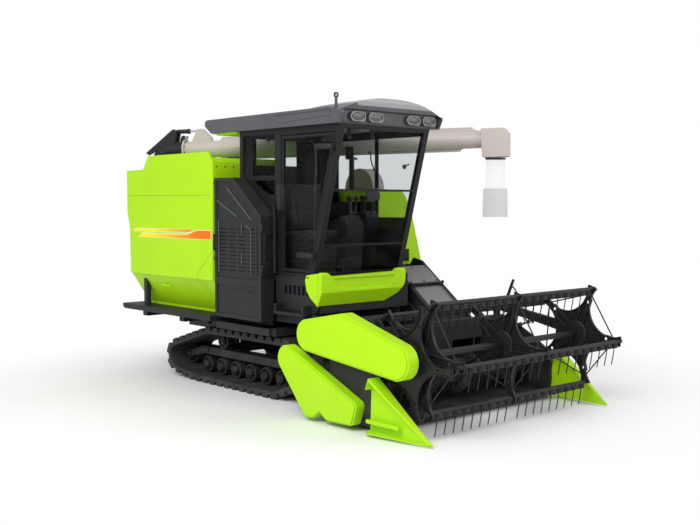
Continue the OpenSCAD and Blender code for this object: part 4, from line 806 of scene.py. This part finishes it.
def make_controls():
    """Levers, screen, pedals, mat and mirror inside the cab."""
    bm = bmesh.new()
    for x, lean in ((-60, -14), (-10, 6), (110, 10)):
        rod(bm, (x, 55, 1640), (x + lean, 55, 1780), 7)
        ball(bm, (x + lean, 55, 1792), 19, (1.0, 1.0, 1.35))
        turned(bm, [(30, 0), (24, 12), (26, 16), (18, 28), (20, 32), (11, 46)], (x, 55, 1622), UP, 18)
    rod(bm, (205, 50, 1640), (290, 20, 1790), 9)
    panel(bm, (282, -70, 1760), (18, 140, 20), (-24, 0, 110), (16, -2, 4), 5)
    for y in (-480, -390):
        panel(bm, (330, y, 1190), (0, 62, 0), (42, 0, 80), (8, 0, -4), 2)
        rod(bm, (356, y + 31, 1226), (400, y + 31, 1124), 7)
    panel(bm, (-120, -790, FLOOR + 0.3), (520, 0, 0), (0, 760, 0), (0, 0, 6), 2)
    piece("cab_controls", bm, black_plastic)
    bm = bmesh.new()
    rod(bm, (430, -700, 2398), (470, -700, 2330), 6)
    panel(bm, (470, -780, 2270), (0, 140, 0), (10, 0, 60), (12, 0, -2), 5)
    piece("cab_mirror", bm, black_plastic)


def make_cab_bolts():
    """Bolts on the cab's base and the bumper's ends."""
    bm = bmesh.new()
    for x in (60, 150, 240, 330):
        bolt(bm, (x, CAB_RIGHT, 1100), RIGHT, 8)
    for x in (-470, -380, -290, -200):
        bolt(bm, (x, CAB_RIGHT, 1700), RIGHT, 7)
    for y, z in ((-838, 1145), (84, 1150)):
        bolt(bm, (570, y, z), AHEAD, 8)
    bolt(bm, (412, CAB_RIGHT - 27, 1120), RIGHT, 8)
    piece("cab_bolts", bm, black_steel)


# Side door

def make_screen_latch():
    """The pull handle and lock of the screened door."""
    bm = bmesh.new()
    for z in (1330, 1450):
        rod(bm, (-760, FLANK_Y + 1, z), (-760, FLANK_Y - 24, z), 7)
    capsule(bm, (-760, FLANK_Y - 26, 1322), (-760, FLANK_Y - 26, 1458), 9)
    turned(bm, [(0, 9), (15, 9), (18, 5), (18, 0), (0, 0)], (-772, FLANK_Y, 1240), RIGHT, 20)
    for x, z in ((-790, 1930), (-790, 720), (-90, 720), (-90, 1480)):
        bolt(bm, (x, FLANK_Y, z), RIGHT, 7, 4)
    piece("screen_door_latch", bm, black_plastic, "screen_door")


def make_screen_beads():
    """Pale upright beads pressed into the sunk panel of the screened door."""
    bm = bmesh.new()
    y = FLANK_Y + 8.9
    for points in (((-372, 1568), (-372, 1463)), ((-369, 1313), (-369, 1205)),
                   ((-309, 1554), (-233, 1515), (-233, 1109))):
        seam(bm, [(x, y, z) for x, z in points], 13.0, (0, -4, 0))
    piece("screen_door_beads", bm, bead_paint, "screen_door")


# Feeder and header

def make_feeder_fittings():
    """Bolts, knobs, the frame of the lower cover and hoses on the feeder house."""
    bm = bmesh.new()
    out = tuple(feeder(0, 1, 0) - feeder(0, 0, 0))
    for along in (105, 300):
        for y in (FEEDER_Y - 170, FEEDER_Y, FEEDER_Y + 170):
            bolt(bm, feeder(along, 142, y), out, 9)
    for along in (360, 742):
        for y in (FEEDER_Y - 180, FEEDER_Y + 180):
            turned(bm, [(0, 14), (13, 14), (17, 9), (17, 0), (0, 0)], feeder(along, 134, y), out, 18)
    for along in range(60, 800, 82):
        bolt(bm, feeder(along, 60, FEEDER_Y - 225), RIGHT, 8)
        bolt(bm, feeder(along, 60, FEEDER_Y + 225), LEFT, 8)
    piece("feeder_bolts", bm, black_steel, "header")
    bm = bmesh.new()
    lift, run = feeder(0, 4, 0) - feeder(0, 0, 0), feeder(1, 0, 0) - feeder(0, 0, 0)
    for side in (-195, 181):
        panel(bm, feeder(352, 133.6, FEEDER_Y + side), 396 * run, (0, 14, 0), lift, 1)
    for along in (352, 734):
        panel(bm, feeder(along, 133.6, FEEDER_Y - 181), 14 * run, (0, 362, 0), lift, 1)
    rod(bm, feeder(340, 152, FEEDER_Y - 222), feeder(340, 152, FEEDER_Y + 222), 11)
    for y in (FEEDER_Y - 222, FEEDER_Y + 208):
        slab(bm, [feeder(322, 116, y), feeder(358, 116, y), feeder(352, 168, y), feeder(328, 168, y)], (0, 14, 0), 2)
    piece("feeder_frame", bm, black_steel, "header")
    bm = bmesh.new()
    for i, off in enumerate((20, -16, -52)):
        y = FEEDER_Y - 225 - 14
        tube(bm, [feeder(150 + 20 * i, off, y), feeder(320, off - 6, y - 8), feeder(520, off + 4, y - 6),
                  feeder(700, off, y), Vector((880, y - 30 - 30 * i, 600)), Vector((930, 230 - 60 * i, 620))], 9)
    piece("feeder_hoses", bm, track_rubber, "header")


def make_header_fittings():
    """Ribs on the header's back wall and bolts along its top edge."""
    bm = bmesh.new()
    for y in (-900, -600, -300, 0, 250):
        slab(bm, [(938, y, 250), (926, y, 300), (926, y, 640), (938, y, 690)], (0, 10, 0))
    for y in (-1040, -700, -350, 0, 900):
        bolt(bm, (960, y, 700), UP, 9)
    piece("header_ribs", bm, charcoal_paint, "header")


# Reel

def make_reel_hubs():
    """The raised hub plate of each star, its six bolts and the ribs along its arms."""
    bm = bmesh.new()
    for y in STARS:
        for way in (RIGHT, LEFT):
            face = REEL + Vector((0, y, 0)) + 14 * Vector(way)
            turned(bm, [(0, 7), (98, 7), (106, 5), (112, 0), (0, 0)], face, way, 40)
            for x, z in around(6, 82):
                bolt(bm, face + 7 * Vector(way) + Vector((x, 0, z)), way, 10)
            for i in range(len(BAR_NODES)):
                along = star_arm(i)
                across = Vector((-along.z, 0, along.x))
                for off in (-24, 24):
                    rod(bm, face + 112 * along + 1.5 * off * across, face + 335 * along + off * across, 6, 8)
    piece("reel_hubs", bm, black_steel, "reel")


def make_tine_springs(index):
    """The coiled roots and clamp bolts of the tines along one bar."""
    bm = bmesh.new()
    bar = REEL + BAR_REACH * star_arm(index)
    for low, high in ((-934.0, -26.0), (26.0, 974.0)):
        step = (high - low) / 9
        for k in range(9):
            y = low + (k + 0.5) * step
            for dy in (-14, 14):
                coil = bar + Vector((0, y + dy, -34))
                turned(bm, [(17, -4), (21, 0), (17, 4), (13, 0), (17, -4)], coil, LEFT, 10)
            bolt(bm, bar + Vector((13, y, -34)), AHEAD, 7, 4)
    piece("tine_springs_%d" % (index + 1), bm, black_steel, BAR_NODES[index])


def make_arm_fittings():
    """The drive's small gearbox on the right arm, and the prop with its bent catch on the left arm."""
    bm = bmesh.new()
    block(bm, (1170, -1058, 770), (1290, -950, 842), 10)
    for i in range(5):
        block(bm, (1182 + 22 * i, -1050, 841), (1192 + 22 * i, -958, 852), 1.5)
    turned(bm, [(0, 60), (30, 60), (36, 52), (36, 0), (0, 0)], (1230, -950, 806), LEFT, 24)
    for dx in (-46, 46):
        for dz in (-26, 26):
            bolt(bm, (1230 + dx, -950, 806 + dz), LEFT, 7)
    piece("reel_gearbox", bm, cast_iron, "reel_arms")
    bm = bmesh.new()
    slab(bm, [(930, 1070, 800), (965, 1070, 800), (1060, 1070, 1040), (1036, 1070, 1046)], (0, 14, 0), 3)
    tube(bm, [(1030, 1077, 980), (1075, 1077, 940), (1088, 1077, 890), (1060, 1077, 860), (975, 1077, 836)], 7)
    piece("reel_prop", bm, black_steel, "reel_arms")


# Tracks

def make_roller_caps():
    """Hub caps with a ring of bolts on the road rollers, and the axle caps of the idlers."""
    bm = bmesh.new()
    roller_z, roller_step, idler = 151, 238, (-1722, 215)
    for side, way in ((-694.0, RIGHT), (694.0, LEFT)):
        for i in range(6):
            x = -1380 + roller_step * i
            turned(bm, [(0, 20), (22, 20), (30, 14), (40, 12), (44, 0), (0, 0)], (x, side, roller_z), way, 24)
            for along, up in around(5, 33):
                bolt(bm, (x + along, side + way[1] * 12, roller_z + up), way, 5, 5)
        turned(bm, [(0, 16), (20, 16), (27, 10), (32, 0), (0, 0)], (idler[0], side - way[1] * 6, idler[1]), way, 24)
    piece("roller_caps", bm, cast_iron)


# Discharge tube

def make_tube_fittings():
    """Flange bolts, the end bearing and the edge rods of the discharge tube."""
    bm = bmesh.new()
    axis = tuple(BOOM_TURN @ Vector((1, 0, 0)))
    for y, z in around(10, 98, 0.5):
        bolt(bm, boom(20, y, z), axis, 8)
    piece("tube_bolts", bm, black_steel, "unloader_boom")
    bm = bmesh.new()
    turned(bm, [(0, 5), (20, 5), (20, 0), (30, 0), (33, 4), (52, 4), (56, 0), (56, -3), (0, -3)],
           boom(3287, 0, 0), axis, 32)
    for y, z in around(4, 43, 0.5):
        bolt(bm, boom(3291, y, z), axis, 5, 4)
    piece("tube_end_bearing", bm, tube_paint, "unloader_boom")
    bm = bmesh.new()
    for off, far in ((114, 2930), (-106, 2810)):
        capsule(bm, boom(400, 0, off), boom(far, 0, off), 7)
    piece("tube_rods", bm, tube_paint, "unloader_boom")


SLEEVE_TOP, SLEEVE_STEP, SLEEVE_LOW = 2268.0, 1890.0, 1615.0


def make_sleeve():
    """The clear plastic sleeve: a narrow upper length tucked in a wider and duller lower one."""
    hang = boom(3155, 0, 0)
    rings = [(93.0, SLEEVE_TOP - 8), (92.0, SLEEVE_STEP + 40), (94.0, SLEEVE_STEP + 6), (118.0, SLEEVE_STEP),
             (121.0, SLEEVE_STEP - 60), (124.0, SLEEVE_LOW)]
    bm = spun(rings, 72, cuts=4)
    slack_m, drop_m, radius_m, most = 0.0018, 0.65, 0.1, 1.6
    for vert in bm.verts:
        turn = math.atan2(vert.co.y, vert.co.x)
        fold = math.sin(7 * turn + 1.1) + 0.6 * math.sin(11 * turn + 0.4)
        slack = slack_m * (SLEEVE_TOP / 1000 - vert.co.z) / drop_m
        vert.co.xy *= 1 - slack * (most - fold) / radius_m
    bmesh.ops.translate(bm, verts=bm.verts, vec=place(hang.x, hang.y, 0))
    sleeve = piece("discharge_sleeve", bm, sleeve_film, "unloader_boom", crease=60.0)
    band = bmesh.new()
    turned(band, [(95, 0), (98, 0), (98, 14), (95, 14), (95, 0)], (hang.x, hang.y, SLEEVE_TOP - 98), UP, 48)
    collar = piece("sleeve_band", band, black_steel, "unloader_boom")
    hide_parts("unloader_sleeve")


# Seat

SEAT_TILT = math.radians(10.9)
PAD_VOXEL_M, PAD_PRESSURE, PAD_FRAMES = 0.006, 4.0, 20
SEWN_REACH_M, SEWN_WIDTH_M, SEWN_FACING = 0.03, 0.009, 0.25


def make_seat_base():
    """The suspension bellows under the seat, its rails and its side levers."""
    bm = bmesh.new()
    face = outlined(bm, [(-320, -545, FLOOR), (25, -545, FLOOR), (25, -75, FLOOR), (-320, -75, FLOOR)])
    middle = place((-320 + 25) / 2, (-545 - 75) / 2, FLOOR)
    folds, fold_m, waist = 10, 0.0255, 0.94
    for fold in range(folds):
        grown = bmesh.ops.extrude_face_region(bm, geom=[face])["geom"]
        face = next(g for g in grown if isinstance(g, bmesh.types.BMFace))
        squeeze = waist if fold % 2 == 0 else 1 / waist
        bmesh.ops.translate(bm, verts=face.verts, vec=(0, 0, fold_m))
        bmesh.ops.scale(bm, verts=face.verts, vec=(squeeze, squeeze, 1.0),
                        space=Matrix.Translation((-middle.x, -middle.y, 0)))
    block(bm, (-345, -552, 1374), (45, -528, 1398), 3)
    block(bm, (-345, -92, 1374), (45, -68, 1398), 3)
    capsule(bm, (0, -556, 1388), (70, -558, 1392), 8)
    return piece("seat_base", bm, track_rubber)


def pad_block(low, high, ease, tilt=0.0, about=(0, 0, 0)):
    """The slightly small form that a pad swells from."""
    bm = bmesh.new()
    block(bm, low, high, ease)
    bmesh.ops.rotate(bm, verts=bm.verts, cent=place(*about), matrix=Matrix.Rotation(tilt, 3, "Y"))
    bmesh.ops.recalc_face_normals(bm, faces=bm.faces)
    return bm


def swell(mesh, cap):
    """Blows a pad up as cloth under pressure and holds each point within the cap."""
    scene = bpy.context.scene
    pad = bpy.data.objects.new("pad", mesh)
    scene.collection.objects.link(pad)
    remesh = pad.modifiers.new("even", "REMESH")
    remesh.mode = "VOXEL"
    remesh.voxel_size = PAD_VOXEL_M
    even = bpy.data.meshes.new_from_object(pad.evaluated_get(bpy.context.evaluated_depsgraph_get()))
    pad.modifiers.clear()
    pad.data = even
    rest = [v.co.copy() for v in even.vertices]
    cloth = pad.modifiers.new("swell", "CLOTH")
    cloth.settings.use_pressure = True
    cloth.settings.uniform_pressure_force = PAD_PRESSURE
    cloth.settings.effector_weights.gravity = 0.0
    for step in range(1, PAD_FRAMES + 1):
        scene.frame_set(step)
    blown = bpy.data.meshes.new_from_object(pad.evaluated_get(bpy.context.evaluated_depsgraph_get()))
    pad.modifiers.clear()
    scene.frame_set(1)
    for vert, start in zip(blown.vertices, rest):
        move = vert.co - start
        if move.length > cap:
            vert.co = start + move.normalized() * cap
    pad.data = blown
    made = pad.data
    bpy.data.objects.remove(pad)
    return made


def sewn(bm, lines, depth):
    """Presses seams into a pad: each line is a point, the way across it and the side it shows on."""
    bmesh.ops.recalc_face_normals(bm, faces=bm.faces)
    for spot, across, shows in lines:
        spot, across, shows = place(*spot), Vector(across).normalized(), Vector(shows).normalized()
        for vert in bm.verts:
            off = (vert.co - spot).dot(across)
            if abs(off) < SEWN_REACH_M and vert.normal.dot(shows) > SEWN_FACING:
                vert.co -= vert.normal * depth * math.exp(-(off / SEWN_WIDTH_M) ** 2)


def make_pad(name, bm, cap, lines):
    """A sewn, swollen seat pad."""
    soft = bmesh.new()
    soft.from_mesh(swell(mesh_from(bm, name), cap))
    bmesh.ops.smooth_vert(soft, verts=soft.verts, factor=0.5, use_axis_x=True, use_axis_y=True, use_axis_z=True)
    sewn(soft, lines, 0.009)
    pad = piece(name, soft, seat_cloth, crease=80.0)
    smooth = pad.modifiers.new("smooth", "SUBSURF")
    smooth.levels = smooth.render_levels = 1
    return pad


def make_seat():
    """Cushion, back and base stand for the plain seat."""
    base = make_seat_base()
    cushion = pad_block((-335, -555, 1412), (80, -65, 1484), 26)
    make_pad("seat_cushion", cushion, 0.014,
             [((0, -440, 1490), LEFT, UP), ((0, -180, 1490), LEFT, UP), ((-60, 0, 1490), AHEAD, UP)])
    back = pad_block((-330, -545, 1512), (-258, -75, 1950), 26, -SEAT_TILT, (-258, 0, 1500))
    make_pad("seat_back", back, 0.014,
             [((0, -440, 1700), LEFT, AHEAD), ((0, -180, 1700), LEFT, AHEAD),
              ((0, 0, 1640), (0.19, 0, 1), AHEAD), ((0, 0, 1800), (0.19, 0, 1), AHEAD)])
    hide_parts("seat")


make_flank_stripe()
make_flank_seams()
make_tank_fasteners()
make_left_latches()
make_tail_lamps()
make_hood_lamp()
make_exhaust_bands()
make_roof_louvre()
make_roof_creases()
make_lamp_lenses()
make_screen_fittings()
make_door_fittings()
make_controls()
make_cab_bolts()
make_screen_latch()
make_screen_beads()
make_feeder_fittings()
make_header_fittings()
make_reel_hubs()
for index in range(len(BAR_NODES)):
    make_tine_springs(index)
make_arm_fittings()
make_roller_caps()
make_tube_fittings()
make_sleeve()
make_seat()


# Floor, light and camera

FADE_M = (1.8, 4.4)
PHOTO_WIDTH, FOCAL_PIXELS, SENSOR_MM = 700, 989.0, 36.0


def seen_by(tree, *rays):
    """1 for rays of these kinds, else 0."""
    path = add(tree, "LightPath")
    found = 0.0
    for ray in rays:
        found = math_node(tree, "MAXIMUM", found, path.outputs[ray])
    return found


def make_stage():
    """A pale floor that keeps the shadow, and fades to white for the camera and for reflections."""
    bm = bmesh.new()
    bmesh.ops.create_grid(bm, x_segments=2, y_segments=2, size=40.0)
    mesh = mesh_from(bm, "floor")
    floor = bpy.data.objects.new("floor", mesh)
    bpy.context.collection.objects.link(floor)
    material, tree, shader = blank("floor_pale")
    pale = mix(tree, ramp(tree, noise(tree, 0.4), 0.3, 0.7), (0.95, 0.95, 0.95), (0.93, 0.93, 0.93))
    wire(tree, shader, {"Base Color": pale, "Roughness": 0.9})
    white = add(tree, "Emission")
    reach = add(tree, "VectorMath")
    reach.operation = "LENGTH"
    tree.links.new(here(tree), reach.inputs[0])
    seen = seen_by(tree, "Is Camera Ray", "Is Transmission Ray", "Is Glossy Ray")
    fade = times(tree, seen, ramp(tree, reach.outputs["Value"], *FADE_M))
    blend = add(tree, "MixShader")
    for socket, source in zip(blend.inputs, (fade, shader.outputs[0], white.outputs[0])):
        tree.links.new(source, socket)
    tree.links.new(blend.outputs[0], tree.nodes["Material Output"].inputs["Surface"])
    mesh.materials.append(material)


def make_world():
    """Even light from all round, seen as white."""
    world = bpy.data.worlds.new("studio")
    world.use_nodes = True
    bpy.context.scene.world = world
    tree = world.node_tree
    seen = seen_by(tree, "Is Camera Ray", "Is Transmission Ray")
    wire(tree, tree.nodes["Background"], {"Color": (1.0, 1.0, 1.0, 1.0), "Strength": span(tree, seen, 0.6, 1.0)})


def make_lamp(name, spot, aim, size, power):
    """A soft square lamp that points at a place."""
    light = bpy.data.lights.new(name, "AREA")
    light.size = size
    light.energy = power
    lamp = bpy.data.objects.new(name, light)
    lamp.location = spot
    lamp.rotation_euler = (Vector(aim) - Vector(spot)).to_track_quat("-Z", "Y").to_euler()
    bpy.context.collection.objects.link(lamp)


def make_camera():
    """The photograph's view: 50.9 mm on a 36 mm wide frame, a little above eye height."""
    camera = bpy.data.cameras.new("camera")
    camera.lens = FOCAL_PIXELS / PHOTO_WIDTH * SENSOR_MM
    camera.sensor_width = SENSOR_MM
    camera.clip_end = 200.0
    eye = bpy.data.objects.new("camera", camera)
    eye.location = place(6839.6, -6181.8, 1760.0)
    yaw, pitch = math.radians(138.0), math.radians(-3.5)
    along = Vector((math.cos(yaw) * math.cos(pitch), math.sin(yaw) * math.cos(pitch), math.sin(pitch)))
    eye.rotation_euler = along.to_track_quat("-Z", "Y").to_euler()
    bpy.context.collection.objects.link(eye)
    bpy.context.scene.camera = eye


make_stage()
make_world()
make_lamp("key", (3.0, -7.0, 6.5), (0.0, 0.0, 1.0), 5.0, 480.0)
make_lamp("fill", (7.0, 4.0, 5.0), (0.5, 0.0, 1.0), 5.0, 180.0)
make_camera()
bpy.context.scene.view_settings.view_transform = "Standard"
